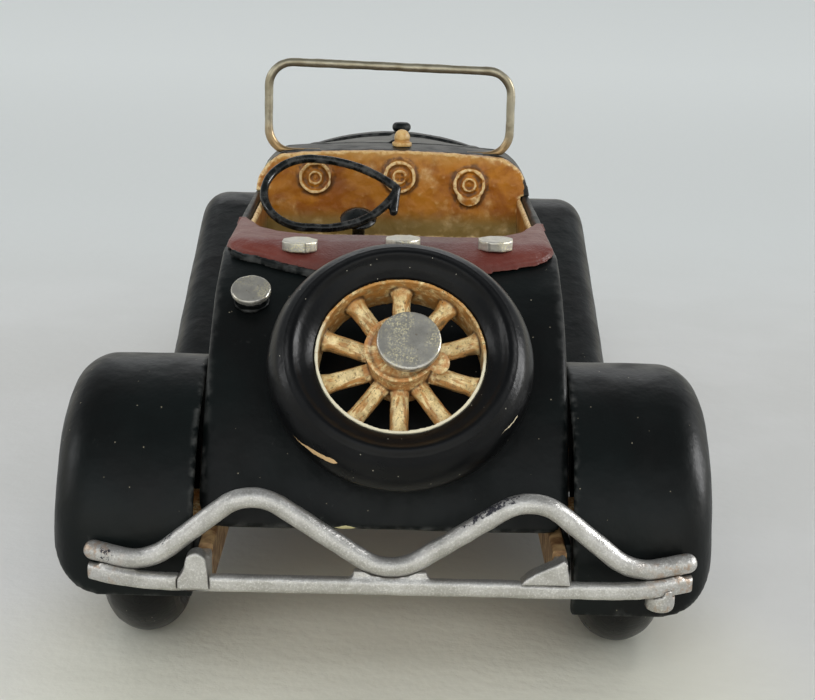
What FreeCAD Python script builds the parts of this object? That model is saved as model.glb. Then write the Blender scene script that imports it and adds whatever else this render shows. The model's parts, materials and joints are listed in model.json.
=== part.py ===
import FreeCAD, Part

import math
import os

from FreeCAD import Matrix, Placement, Rotation, Vector

# A friction-driven toy roadster with an open cockpit, a spare wheel on its sloping tail and two-bar bumpers.
# Frame: millimetres, +X to the car's nose, +Y to its left, +Z up. The origin is on the ground, midway between
# the bumpers. The front axle turns a flywheel under the bonnet through a two-stage gear train.

# ---- driving dimensions -------------------------------------------------------------------------------------
HALF_LENGTH = 99.0  # bumper face to the origin
WHEELBASE = 138.0
REAR_OVERHANG = 27.0
HALF_WIDTH = 42.6  # outer face of the rear fenders
FRONT_HALF_WIDTH = 41.0  # outer face of the front fenders
BODY_HALF_WIDTH = 24.0
WALL = 1.4  # body shell
FENDER_WALL = 1.3
DECK_HEIGHT = 20.4  # top of the frame rails, where the body sits

TYRE_R = 17.25
RIM_R = 11.0
RIM_DEPTH = 3.0  # half of the rim's width
TRACK_Y = 32.2
HUB_BOSS_R = 2.4
AXLE_R = 1.0
RUNNING = 0.05  # radial clearance of a shaft in its bore

MODULE = 0.45
PRESSURE_ANGLE = math.radians(25)
GEAR_TEETH = 36
PINION_TEETH = 12
TOOTH_THINNING = 0.07  # taken off each tooth at the pitch circle, for backlash
PINION_SHAFT_R = 0.9

# ---- stations along the car ---------------------------------------------------------------------------------
REAR_AXLE_X = -HALF_LENGTH + REAR_OVERHANG
FRONT_AXLE_X = REAR_AXLE_X + WHEELBASE
AXLE_Z = TYRE_R
TAIL_FOOT = (REAR_AXLE_X - 17.0, DECK_HEIGHT)
TAIL_MIDDLE = (REAR_AXLE_X - 7.2, 38.0)
TAIL_TOP = (REAR_AXLE_X + 14.0, 50.8)
SIDE_TOP_Z = 50.4
COCKPIT_REAR_X = REAR_AXLE_X + 20.0
COCKPIT_FRONT_X = 0.0
COWL_FRONT_X = 10.0
RADIATOR_REAR_X = 75.0
RADIATOR_FRONT_X = 79.0
FRONT_BODY_HALF = 20.6  # half-width where the bonnet meets the radiator
FRONT_CROWN = 2.8  # fall of its top there, from the middle to the shoulders
PAN_TOP = DECK_HEIGHT + 1.0
PAN_REAR_X = -86.5
SILL_INNER_Y = 23.2
RAIL_INNER_Y = 21.4
BOARD_BOTTOM = 13.2
BOARD_TOP = 15.0
RAIL_BOTTOM = 14.5
RAIL_END_X = 94.0

UP = Vector(0, 0, 1)
FORWARD = Vector(1, 0, 0)
LEFT = Vector(0, 1, 0)
ORIGIN = Vector(0, 0, 0)


# ---- helpers ------------------------------------------------------------------------------------------------
def save(name, *solids):
    """Writes one sub-part: a solid, or several separate solids that share a node."""
    shape = solids[0] if len(solids) == 1 else Part.makeCompound(list(solids))
    for solid in shape.Solids:
        if not solid.isValid() or solid.Volume <= 0:
            print("CHECK", name, "has a bad solid", solid.Volume)
    shape.exportStep(f"parts/{name}.step")


def box(x0, x1, y0, y1, z0, z1):
    return Part.makeBox(x1 - x0, y1 - y0, z1 - z0, Vector(x0, y0, z0))


def rod(start, direction, radius, length):
    return Part.makeCylinder(radius, length, start, direction)


def rod_y(x, z, radius, y0, y1):
    """A cylinder across the car."""
    return rod(Vector(x, y0, z), LEFT, radius, y1 - y0)


def wire(points):
    """Joins points by lines. An item (middle, end) goes on by an arc through middle to end."""
    edges = []
    last = points[0]
    for item in points[1:]:
        if isinstance(item, tuple):
            middle, end = item
            edges.append(Part.Arc(last, middle, end).toShape())
            last = end
        else:
            edges.append(Part.LineSegment(last, item).toShape())
            last = item
    return Part.Wire(edges)


def prism(points, start, direction):
    """A solid from a closed outline, moved by start and extruded by direction."""
    solid = Part.Face(wire(points)).extrude(direction)
    solid.translate(start)
    return solid


def side(x, z):
    return Vector(x, 0, z)


def plan(x, y):
    return Vector(x, y, 0)


def section(y, z):
    return Vector(0, y, z)


def mirror_y(shape):
    return shape.mirror(ORIGIN, LEFT)


def mirror_x(shape):
    return shape.mirror(ORIGIN, FORWARD)


def pair(shape):
    """A left piece and its mirror image."""
    return shape, mirror_y(shape)


def spun(points):
    """Turns a closed (radius, height) outline about the Z axis."""
    outline = [
        tuple(Vector(p[0], 0, p[1]) for p in item)
        if isinstance(item[0], tuple)
        else Vector(item[0], 0, item[1])
        for item in points
    ]
    return Part.Face(wire(outline)).revolve(ORIGIN, UP, 360)


def aim(shape, position, axis):
    """Carries a shape made about the Z axis to a position, with its Z along axis."""
    placed = shape.copy()
    placed.Placement = Placement(position, Rotation(UP, axis)).multiply(placed.Placement)
    return placed


def circle_centre(a, b, c):
    """Centre and radius of the circle through three (x, z) points."""
    circle = Part.Arc(side(*a), side(*b), side(*c)).toShape().Curve
    return (circle.Center.x, circle.Center.z), circle.Radius


def round_edges(solid, radius, chosen):
    """Fillets the edges that chosen accepts."""
    return solid.makeFillet(radius, [e for e in solid.Edges if chosen(e)])


def lies_on(edge, axis, value, tolerance=1e-3):
    """Whether both ends of an edge have this coordinate."""
    return all(abs(getattr(v.Point, axis) - value) < tolerance for v in edge.Vertexes)


def polar(centre, radius, degrees):
    angle = math.radians(degrees)
    return centre[0] + radius * math.cos(angle), centre[1] + radius * math.sin(angle)


def rounded_path(corners, radii):
    """A wire of straight runs with a tangent arc at each inner corner."""
    points = [corners[0]]
    for before, corner, after, radius in zip(corners, corners[1:], corners[2:], radii):
        back = (before - corner).normalize()
        ahead = (after - corner).normalize()
        half = back.getAngle(ahead) / 2
        setback = radius / math.tan(half)
        inward = (back + ahead).normalize()
        middle = corner + inward * (radius / math.sin(half) - radius)
        points.append(corner + back * setback)
        points.append((middle, corner + ahead * setback))
    points.append(corners[-1])
    return wire(points)


def tube_along(path, radius):
    start = path.OrderedVertexes[0].Point
    direction = path.OrderedEdges[0].tangentAt(path.OrderedEdges[0].FirstParameter)
    profile = Part.Wire(Part.makeCircle(radius, start, direction))
    return path.makePipeShell([profile], True, True)


# ---- wheels: made about the Z axis, with the outer face to +Z -----------------------------------------------
def tyre():
    """A round tyre with a shallow dip between its tread and the swell at its bead."""
    valley = (15.1, 4.35)

    def low(point):
        return point[0], -point[1]

    return spun(
        [
            (RIM_R, RIM_DEPTH),
            (12.9, 4.3),
            ((13.8, 5.0), (14.7, 4.6)),
            valley,
            ((TYRE_R, 0), low(valley)),
            (14.7, -4.6),
            ((13.8, -5.0), (12.9, -4.3)),
            (RIM_R, -RIM_DEPTH),
            (RIM_R, RIM_DEPTH),
        ]
    )


RIM_WALL = 0.5
SPOKES = 10
SPOKE_R = 1.22
SPOKE_FOOT_R = 1.55  # where a spoke flares to meet the rim
HUB_R = 4.2
HUB_FACE_Z = 4.3  # floor of the shallow dish in the hub's outer end
HUB_LIP = (4.7, 4.8)  # its radius and height


def wheel(bore_r, boss_end):
    """A wooden-spoke wheel: thin rim, ten round spokes, and a dished hub whose boss ends at boss_end."""
    width = 2 * RIM_DEPTH
    rim = Part.makeCylinder(RIM_R - 0.02, width, Vector(0, 0, -RIM_DEPTH))
    rim = rim.cut(Part.makeCylinder(RIM_R - RIM_WALL, width, Vector(0, 0, -RIM_DEPTH)))
    hub = spun(
        [
            (0, -RIM_DEPTH),
            (HUB_R, -RIM_DEPTH),
            (HUB_R, HUB_FACE_Z - 0.4),
            (HUB_LIP[0], HUB_FACE_Z),
            HUB_LIP,
            (HUB_R, HUB_LIP[1]),
            (HUB_R - 0.3, HUB_FACE_Z),
            (0, HUB_FACE_Z),
            (0, -RIM_DEPTH),
        ]
    )
    boss = Part.makeCylinder(HUB_BOSS_R, -RIM_DEPTH - boss_end, Vector(0, 0, boss_end))
    spokes = []
    for k in range(SPOKES):
        angle = 2 * math.pi * k / SPOKES
        out = Vector(math.cos(angle), math.sin(angle), 0)
        spokes.append(rod(out * 3.0, out, SPOKE_R, 7.6))
        spokes.append(Part.makeCone(SPOKE_R, SPOKE_FOOT_R, 1.7, out * 9.1, out))
    body = rim.multiFuse([hub, boss] + spokes)
    body = body.common(Part.makeCylinder(RIM_R - 0.02, 60, Vector(0, 0, -30))).removeSplitter()
    return body.cut(Part.makeCylinder(bore_r, 40, Vector(0, 0, -20)))


NAIL_HEAD_R = 4.1
NAIL_HEAD_Z = 5.6


def nail_head():
    head = Part.makeCylinder(NAIL_HEAD_R, 1.1, Vector(0, 0, NAIL_HEAD_Z))
    return round_edges(head, 0.3, lambda e: e.Length > 1.5 and lies_on(e, "z", NAIL_HEAD_Z + 1.1))


def hub_cap():
    """A flat round head on a neck that closes the end of an axle."""
    neck = Part.makeCylinder(1.7, NAIL_HEAD_Z - HUB_FACE_Z, Vector(0, 0, HUB_FACE_Z))
    return nail_head().fuse(neck).removeSplitter()


def save_axle_set(prefix, axle_x):
    """An axle with a wheel, a tyre and a hub cap at each end."""
    boss_end = -(TRACK_Y - BODY_HALF_WIDTH - 0.3)
    caps = []
    for label, sign in (("left", 1), ("right", -1)):
        centre = Vector(axle_x, sign * TRACK_Y, AXLE_Z)
        outward = LEFT * sign
        save(f"{prefix}_tyre_{label}", aim(tyre(), centre, outward))
        save(f"{prefix}_wheel_{label}", aim(wheel(AXLE_R, boss_end), centre, outward))
        caps.append(aim(hub_cap(), centre, outward))
    save(f"{prefix}_hub_caps", *caps)
    reach = TRACK_Y + HUB_FACE_Z
    save(f"{prefix}_axle", rod_y(axle_x, AXLE_Z, AXLE_R, -reach, reach))


# ---- friction motor -----------------------------------------------------------------------------------------
CENTRE_DISTANCE = MODULE * (GEAR_TEETH + PINION_TEETH) / 2
FIRST_MESH = 140.0  # direction from the axle to the idler, in degrees from +X towards +Z
SECOND_MESH = 160.0  # direction from the idler to the flywheel
AXLE_XZ = (FRONT_AXLE_X, AXLE_Z)
IDLER_XZ = polar(AXLE_XZ, CENTRE_DISTANCE, FIRST_MESH)
FLYWHEEL_XZ = polar(IDLER_XZ, CENTRE_DISTANCE, SECOND_MESH)
GEAR_WIDTH = 3.0
FIRST_PLANE = -3.5  # lowest y of the axle gear and its pinion
SECOND_PLANE = -7.5  # lowest y of the idler gear and its pinion
PLATE_INNER_Y = 9.0
PLATE = 1.0
FLYWHEEL_R = 9.0
SPACERS = ((38.5, 36.0), (60.0, 37.0), (38.5, 17.0), (54.0, 11.5))
COLLAR_R = 1.6


def gear(teeth, centre, tooth_at, y0, width):
    """An involute gear across the car, with one tooth centred at tooth_at degrees from +X towards +Z."""
    pitch_r = MODULE * teeth / 2
    base_r = pitch_r * math.cos(PRESSURE_ANGLE)
    tip_r = pitch_r + MODULE
    root_r = pitch_r - 1.25 * MODULE
    half_tooth = math.pi / (2 * teeth) - TOOTH_THINNING / (2 * pitch_r)
    half_tooth += math.tan(PRESSURE_ANGLE) - PRESSURE_ANGLE
    flank_start = max(base_r, root_r)

    def flank(radius):
        """Half of the tooth's angle at this radius."""
        roll = math.acos(min(1.0, base_r / radius))
        return half_tooth - (math.tan(roll) - roll)

    def at(radius, angle):
        x, z = polar(centre, radius, tooth_at + math.degrees(angle))
        return side(x, z)

    middle_r = (flank_start + tip_r) / 2
    pitch_angle = 2 * math.pi / teeth
    outline = [at(root_r, -flank(flank_start))]
    for k in range(teeth):
        a = k * pitch_angle
        if base_r > root_r:
            outline.append(at(base_r, a - flank(base_r)))
        outline.append((at(middle_r, a - flank(middle_r)), at(tip_r, a - flank(tip_r))))
        outline.append((at(tip_r, a), at(tip_r, a + flank(tip_r))))
        outline.append((at(middle_r, a + flank(middle_r)), at(flank_start, a + flank(flank_start))))
        if base_r > root_r:
            outline.append(at(root_r, a + flank(base_r)))
        next_root = a + pitch_angle - flank(flank_start)
        outline.append((at(root_r, a + pitch_angle / 2), at(root_r, next_root)))
    return prism(outline, LEFT * y0, LEFT * width)


def save_motor():
    tooth_pitch = 360.0 / PINION_TEETH
    axle_gear = gear(GEAR_TEETH, AXLE_XZ, FIRST_MESH, FIRST_PLANE, GEAR_WIDTH)
    axle_gear = axle_gear.fuse(rod_y(*AXLE_XZ, 2.2, FIRST_PLANE - 0.7, 1.5))
    save("axle_gear", axle_gear.cut(rod_y(*AXLE_XZ, AXLE_R, -12, 12)))

    first_gap = FIRST_MESH + 180 + tooth_pitch / 2
    second_gap = SECOND_MESH + 180 + tooth_pitch / 2
    shaft_reach = PLATE_INNER_Y + PLATE + 0.4

    idler = rod_y(*IDLER_XZ, PINION_SHAFT_R, -shaft_reach, shaft_reach).multiFuse(
        [
            gear(PINION_TEETH, IDLER_XZ, first_gap, FIRST_PLANE, GEAR_WIDTH),
            rod_y(*IDLER_XZ, COLLAR_R, -8.8, SECOND_PLANE),
            rod_y(*IDLER_XZ, COLLAR_R, 8.2, 8.8),
        ]
    )
    save("idler_shaft_pinion", idler)
    idler_gear = gear(GEAR_TEETH, IDLER_XZ, SECOND_MESH, SECOND_PLANE, GEAR_WIDTH)
    save("idler_gear", idler_gear.cut(rod_y(*IDLER_XZ, PINION_SHAFT_R, -12, 12)))

    shaft = rod_y(*FLYWHEEL_XZ, PINION_SHAFT_R, -shaft_reach, shaft_reach).multiFuse(
        [
            gear(PINION_TEETH, FLYWHEEL_XZ, second_gap, SECOND_PLANE, GEAR_WIDTH),
            rod_y(*FLYWHEEL_XZ, COLLAR_R, -8.8, SECOND_PLANE),
        ]
    )
    save("flywheel_shaft_pinion", shaft)
    rim = rod_y(*FLYWHEEL_XZ, FLYWHEEL_R, 1.0, 8.0).cut(rod_y(*FLYWHEEL_XZ, 7.0, 6.5, 8.0))
    flywheel = rim.fuse(rod_y(*FLYWHEEL_XZ, 2.4, 0.2, 8.8))
    save("flywheel", flywheel.cut(rod_y(*FLYWHEEL_XZ, PINION_SHAFT_R, -12, 12)))

    ring = [SPACERS[0], SPACERS[2], SPACERS[3], AXLE_XZ, SPACERS[1]]
    outline = [side(x, z) for x, z in ring + ring[:1]]
    corner_r = 2.6
    plate = prism(outline, LEFT * PLATE_INNER_Y, LEFT * PLATE)
    plate = plate.multiFuse([rod_y(x, z, corner_r, PLATE_INNER_Y, PLATE_INNER_Y + PLATE) for x, z in ring])
    for (x0, z0), (x1, z1) in zip(ring, ring[1:] + ring[:1]):
        along = Vector(x1 - x0, 0, z1 - z0)
        across = along.cross(LEFT).normalize() * corner_r
        strip = [side(x0, z0) + across, side(x1, z1) + across, side(x1, z1) - across, side(x0, z0) - across]
        plate = plate.fuse(prism(strip + strip[:1], LEFT * PLATE_INNER_Y, LEFT * PLATE))
    foot = box(45, 59, PLATE_INNER_Y + PLATE, PLATE_INNER_Y + 5, PAN_TOP, PAN_TOP + 0.8)
    plate = plate.fuse(foot).removeSplitter()
    for centre, radius in ((AXLE_XZ, AXLE_R), (IDLER_XZ, PINION_SHAFT_R), (FLYWHEEL_XZ, PINION_SHAFT_R)):
        plate = plate.cut(rod_y(*centre, radius + RUNNING, -12, 12))
    left, right = pair(plate)
    save("motor_plates", left, right)
    save("motor_spacers", *[rod_y(x, z, 1.2, -PLATE_INNER_Y, PLATE_INNER_Y) for x, z in SPACERS])


# ---- chassis ------------------------------------------------------------------------------------------------
SCREWS = [(x, y) for x in (-60.0, -26.0, 22.0) for y in (-22.1, 22.1)]
SCREW_R = 0.45


def save_chassis():
    rail = box(-RAIL_END_X, RAIL_END_X, RAIL_INNER_Y, SILL_INNER_Y, RAIL_BOTTOM, DECK_HEIGHT)
    rail = round_edges(rail, 0.5, lambda e: e.Length > 100)
    for axle_x in (REAR_AXLE_X, FRONT_AXLE_X):
        rail = rail.cut(rod_y(axle_x, AXLE_Z, AXLE_R + RUNNING, 15, 30))
    for x, y in SCREWS:
        rail = rail.cut(rod(Vector(x, y, 10), UP, SCREW_R, 20))
    left, right = pair(rail)
    save("frame_rail_left", left)
    save("frame_rail_right", right)

    members = [
        box(x - 2, x + 2, -RAIL_INNER_Y, RAIL_INNER_Y, RAIL_BOTTOM + 1, DECK_HEIGHT - 1.5)
        for x in (-60.0, -2.0, 88.0)
    ]
    save("cross_members", *members)

    pan_half = BODY_HALF_WIDTH - WALL - 0.1
    pan = box(PAN_REAR_X, RADIATOR_FRONT_X + 0.5, -pan_half, pan_half, DECK_HEIGHT, PAN_TOP)
    pan = pan.cut(box(34, RADIATOR_REAR_X - 0.2, -11, 11, 15, 25))
    for x, y in SCREWS:
        pan = pan.cut(rod(Vector(x, y, 10), UP, SCREW_R, 20))
    save("floor_pan", pan)

    screws = []
    for x, y in SCREWS:
        head = rod(Vector(x, y, RAIL_BOTTOM - 0.8), UP, 1.0, 0.8)
        head = head.cut(box(x - 0.2, x + 0.2, y - 2, y + 2, RAIL_BOTTOM - 1, RAIL_BOTTOM - 0.45))
        screws.append(head.fuse(rod(Vector(x, y, RAIL_BOTTOM), UP, SCREW_R, PAN_TOP - RAIL_BOTTOM)))
    save("frame_screws", *screws)


# ---- fenders and running boards -----------------------------------------------------------------------------
REAR_FENDER_R = 21.2
FRONT_FENDER_R = 21.5
FRONT_SWEEP = 20.5  # fall of the front fender's long tail, in degrees
EDGE_ROUND = 5.4
REAR_FENDER_BOTTOM = (12.5, 11.2)  # left and right: the right one hangs lower
LIP = 5.4  # depth of the outer skirt round the wheel opening


def rear_fender_outline(offset, bottom):
    """The rear fender seen from the side, drawn in by offset."""
    r = REAR_FENDER_R - offset
    x = REAR_AXLE_X
    return [
        side(x + r, bottom),
        side(x + r, AXLE_Z),
        (side(x, AXLE_Z + r), side(x - r, AXLE_Z)),
        side(x - r, bottom),
        side(x + r, bottom),
    ]


def front_fender_outline(offset, bottom):
    """The front fender seen from the side: a round front, then a straight fall to the board."""
    r = FRONT_FENDER_R - offset
    centre = (FRONT_AXLE_X, AXLE_Z)
    top = side(*polar(centre, r, 90 + FRONT_SWEEP))
    middle = side(*polar(centre, r, (90 + FRONT_SWEEP) / 2))
    toe_x = top.x - (top.z - bottom) / math.tan(math.radians(FRONT_SWEEP))
    front_x = FRONT_AXLE_X + r
    return [
        side(front_x, bottom),
        side(front_x, AXLE_Z),
        (middle, top),
        side(toe_x, bottom),
        side(front_x, bottom),
    ]


def fender(outline, bottom, outer_y, inner_cut_y):
    """A fender with a rounded outer edge, hollow below, with a wheel opening in its skirt."""
    low = bottom - 6

    def on_path(edge):
        return lies_on(edge, "y", outer_y) and not lies_on(edge, "z", bottom)

    def on_cavity_path(edge):
        return lies_on(edge, "y", outer_y - FENDER_WALL) and not lies_on(edge, "z", low)

    solid = prism(outline(0, bottom), LEFT * BODY_HALF_WIDTH, LEFT * (outer_y - BODY_HALF_WIDTH))
    solid = round_edges(solid, EDGE_ROUND, on_path)
    cavity_width = outer_y - FENDER_WALL - inner_cut_y
    cavity = prism(outline(FENDER_WALL, low), LEFT * inner_cut_y, LEFT * cavity_width)
    cavity = round_edges(cavity, EDGE_ROUND - FENDER_WALL, on_cavity_path)
    opening = prism(outline(LIP, low), LEFT * (outer_y - 7), LEFT * 10)
    return solid.cut(cavity).cut(opening)


def rear_fender(bottom):
    rear = fender(rear_fender_outline, bottom, HALF_WIDTH, BODY_HALF_WIDTH - 1)
    corner_r = 7.0
    corner_y = HALF_WIDTH - corner_r
    corner_z = bottom + corner_r
    corner = box(-110, REAR_AXLE_X - 8, corner_y, HALF_WIDTH + 1, bottom - 1, corner_z)
    corner = corner.cut(rod(Vector(-120, corner_y, corner_z), FORWARD, corner_r, 60))
    rear = rear.cut(corner)
    # The front foot of the fender stands on the running board's level.
    return rear.cut(box(REAR_AXLE_X + 8, 0, 20, 50, 5, BOARD_BOTTOM))


def save_fenders():
    left_bottom, right_bottom = REAR_FENDER_BOTTOM
    save("rear_fender_left", rear_fender(left_bottom))
    save("rear_fender_right", mirror_y(rear_fender(right_bottom)))

    inner_wall = 1.2
    front = fender(front_fender_outline, BOARD_TOP, FRONT_HALF_WIDTH, BODY_HALF_WIDTH + inner_wall)
    front = front.cut(rod_y(FRONT_AXLE_X, AXLE_Z, HUB_BOSS_R + 0.6, 20, 30))
    nose = prism(
        [side(86, BOARD_TOP), side(87.5, BOARD_TOP), side(87.5, 17), side(86.2, 17), side(86, BOARD_TOP)],
        LEFT * (BODY_HALF_WIDTH + inner_wall),
        LEFT * 8,
    )
    front = front.fuse(nose).removeSplitter()
    left, right = pair(front)
    save("front_fender_left", left)
    save("front_fender_right", right)


def save_running_boards():
    """A ribbed board on a long sill that also carries both fenders."""
    rear_end = REAR_AXLE_X + REAR_FENDER_R
    front_end = 27.0
    board = box(rear_end, front_end, BODY_HALF_WIDTH, FRONT_HALF_WIDTH, BOARD_BOTTOM, BOARD_TOP)
    board = round_edges(board, 0.8, lambda e: lies_on(e, "y", FRONT_HALF_WIDTH) and e.Length > 20)
    toe_x = front_fender_outline(0, BOARD_TOP)[3].x
    ribs = [
        box(rear_end + 2.5, toe_x - 2, y, y + 1.2, BOARD_TOP, BOARD_TOP + 0.5)
        for y in (27.0, 30.0, 33.0, 36.0)
    ]
    sill = box(-92, 87, SILL_INNER_Y, BODY_HALF_WIDTH, BOARD_BOTTOM, DECK_HEIGHT)
    for axle_x in (REAR_AXLE_X, FRONT_AXLE_X):
        sill = sill.cut(rod_y(axle_x, AXLE_Z, AXLE_R + 0.6, 20, 26))
    board = board.multiFuse(ribs + [sill]).removeSplitter()
    left, right = pair(board)
    save("running_board_left", left)
    save("running_board_right", right)


# ---- body ---------------------------------------------------------------------------------------------------
SPARE_ELEVATION = 41.0  # of the spare wheel's axis above the horizon
SPARE_FOOT_ANGLE = 41.8  # of the place on the tail's arc where it stands
SPARE_Y = -1.7
SPARE_STANDOFF = 5.8
NAIL_SHIFT = 1.0  # the nail went in to the right of the wheel's centre
SPARE_NAIL_LIFT = 0.5  # and stands proud of the hub
SPARE_AXIS = Vector(-math.cos(math.radians(SPARE_ELEVATION)), 0, math.sin(math.radians(SPARE_ELEVATION)))
DECK_CENTRE, DECK_R = circle_centre(TAIL_FOOT, TAIL_MIDDLE, TAIL_TOP)
SPARE_FOOT_XZ = polar(DECK_CENTRE, DECK_R, 180 - SPARE_FOOT_ANGLE)
SPARE_FOOT = Vector(SPARE_FOOT_XZ[0], SPARE_Y, SPARE_FOOT_XZ[1])
SPARE_CENTRE = SPARE_FOOT + SPARE_AXIS * SPARE_STANDOFF
NAIL_FOOT = SPARE_FOOT - LEFT * NAIL_SHIFT
NAIL_SHANK_R = 1.2

STEERING_TILT = math.radians(50)  # of the column below the horizon
STEERING_HEAD = Vector(-14.5, 5.6, 48.4)
STEERING_AXIS = Vector(-math.cos(STEERING_TILT), 0, math.sin(STEERING_TILT))
COLUMN_R = 1.1
COLUMN_LENGTH = 28.0

FILLER_TILT = math.radians(60)
FILLER_AXIS = Vector(-math.cos(FILLER_TILT), 0, math.sin(FILLER_TILT))
FILLER_X = REAR_AXLE_X + 2.6
FILLER_Y = 18.7

DASH_BOTTOM = 42.5
DASH_THICK = 2.0
GAUGES = ((13.5, 53.0), (-1.2, 53.4), (-13.4, 52.3))  # (y, z) of each
CAP_Y = -1.5


def deck_z(x, radius=DECK_R):
    """Height of the tail's arc at a station."""
    return DECK_CENTRE[1] + math.sqrt(radius**2 - (x - DECK_CENTRE[0]) ** 2)


def arch(half_width, shoulder_z, top_z, bottom_z, crown=0.9):
    """A cross-section with upright sides, round shoulders and a top that falls by crown to each side."""
    shoulder_end = section(half_width * 0.80, top_z - crown)
    middle = section(half_width * 0.955, shoulder_z + 0.585 * (shoulder_end.z - shoulder_z))

    def other(point):
        return section(-point.y, point.z)

    return [
        section(half_width, bottom_z),
        section(half_width, shoulder_z),
        (middle, shoulder_end),
        (section(0, top_z), other(shoulder_end)),
        (other(middle), section(-half_width, shoulder_z)),
        section(-half_width, bottom_z),
        section(half_width, bottom_z),
    ]


def cowl_block(length):
    return prism(arch(BODY_HALF_WIDTH, 49.5, 57.8, DECK_HEIGHT), ORIGIN, FORWARD * length)


def save_body():
    width = 2 * BODY_HALF_WIDTH
    inner = BODY_HALF_WIDTH - WALL
    tub_outline = [
        side(*TAIL_FOOT),
        (side(*TAIL_MIDDLE), side(*TAIL_TOP)),
        side(COWL_FRONT_X, SIDE_TOP_Z),
        side(COWL_FRONT_X, DECK_HEIGHT),
        side(*TAIL_FOOT),
    ]
    tub = prism(tub_outline, LEFT * -BODY_HALF_WIDTH, LEFT * width)

    def on_tail_side(edge):
        return edge.Length > 30 and edge.BoundBox.XMax < COCKPIT_REAR_X and edge.BoundBox.ZLength > 10

    tub = round_edges(tub, 1.0, on_tail_side)
    cowl_length = COWL_FRONT_X - COCKPIT_FRONT_X
    cowl = cowl_block(cowl_length)
    body = tub.fuse(cowl).removeSplitter()

    low = DECK_HEIGHT - 2
    bulkhead_x = COCKPIT_REAR_X - WALL
    inner_r = DECK_R - WALL
    start_x = DECK_CENTRE[0] - math.sqrt(inner_r**2 - (low - DECK_CENTRE[1]) ** 2)
    knee_x = TAIL_TOP[0] + 0.4
    tail_cavity = [
        side(start_x, low),
        (side(-77.5, deck_z(-77.5, inner_r)), side(knee_x, deck_z(knee_x, inner_r))),
        side(bulkhead_x, deck_z(knee_x, inner_r)),
        side(bulkhead_x, low),
        side(start_x, low),
    ]
    body = body.cut(prism(tail_cavity, LEFT * -inner, LEFT * 2 * inner))
    body = body.cut(box(COCKPIT_REAR_X, COCKPIT_FRONT_X, -inner, inner, low, 70))
    cowl_cavity = prism(arch(inner, 48.4, 57.8 - WALL, low), FORWARD * WALL, FORWARD * cowl_length)
    body = body.cut(cowl_cavity)
    body = body.cut(box(PAN_REAR_X - 0.1, COWL_FRONT_X + 1, -inner, inner, low, PAN_TOP))

    corner_r = 3.2
    corner_y = BODY_HALF_WIDTH - corner_r
    corner_z = DECK_HEIGHT + corner_r
    corner = box(-92, TAIL_FOOT[0] + 6, corner_y, BODY_HALF_WIDTH + 1, 20, corner_z)
    corner = corner.cut(rod(Vector(-95, corner_y, corner_z), FORWARD, corner_r, 20))
    body = body.cut(corner).cut(mirror_y(corner))
    body = body.cut(rod(NAIL_FOOT - SPARE_AXIS * 6, SPARE_AXIS, NAIL_SHANK_R, 8))
    column_hole = rod(STEERING_HEAD, STEERING_AXIS * -1, COLUMN_R + RUNNING, COLUMN_LENGTH + 4)
    body = body.cut(column_hole)
    save("body_shell", body)

    liner_wall = 0.8
    liner_front = COCKPIT_FRONT_X - 0.05
    liner_rear = COCKPIT_REAR_X + 0.05
    liner = box(liner_rear, liner_front, -inner + 0.05, inner - 0.05, PAN_TOP, SIDE_TOP_Z - 0.4)
    inside = inner - 0.05 - liner_wall
    liner = liner.cut(
        box(liner_rear + liner_wall, liner_front - liner_wall, -inside, inside, PAN_TOP + liner_wall, 60)
    )
    liner = liner.cut(box(liner_front - 2.2, 1, -30, 30, DASH_BOTTOM, 60)).cut(column_hole)
    save("cockpit_liner", liner)


def save_dash():
    dash = prism(arch(BODY_HALF_WIDTH, 49.5, 57.8, DASH_BOTTOM), FORWARD * -DASH_THICK, FORWARD * DASH_THICK)
    clear_y = BODY_HALF_WIDTH - WALL - 0.1
    for tool in pair(box(-5, 5, clear_y, 30, 40, SIDE_TOP_Z)):
        dash = dash.cut(tool)
    gauges = []
    for y, z in GAUGES:
        face = Vector(-DASH_THICK, y, z)
        gauge = rod(face, FORWARD * -1, 2.9, 1.0)
        if y < -10:
            gauge = gauge.fuse(rod(face - UP * 1.7, FORWARD * -1, 2.2, 1.0))
        groove = rod(face - FORWARD * 0.55, FORWARD * -1, 2.2, 1.0)
        groove = groove.cut(rod(face, FORWARD * -1, 1.3, 2.0))
        dimple = rod(face - FORWARD * 0.6, FORWARD * -1, 0.75, 1.0)
        dot = rod(face, FORWARD * -1, 0.3, 0.9)
        gauge = gauge.cut(groove).cut(dimple).fuse(dot)
        gauges.append(gauge.removeSplitter())
    save("dashboard", dash.multiFuse(gauges).removeSplitter())


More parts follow.
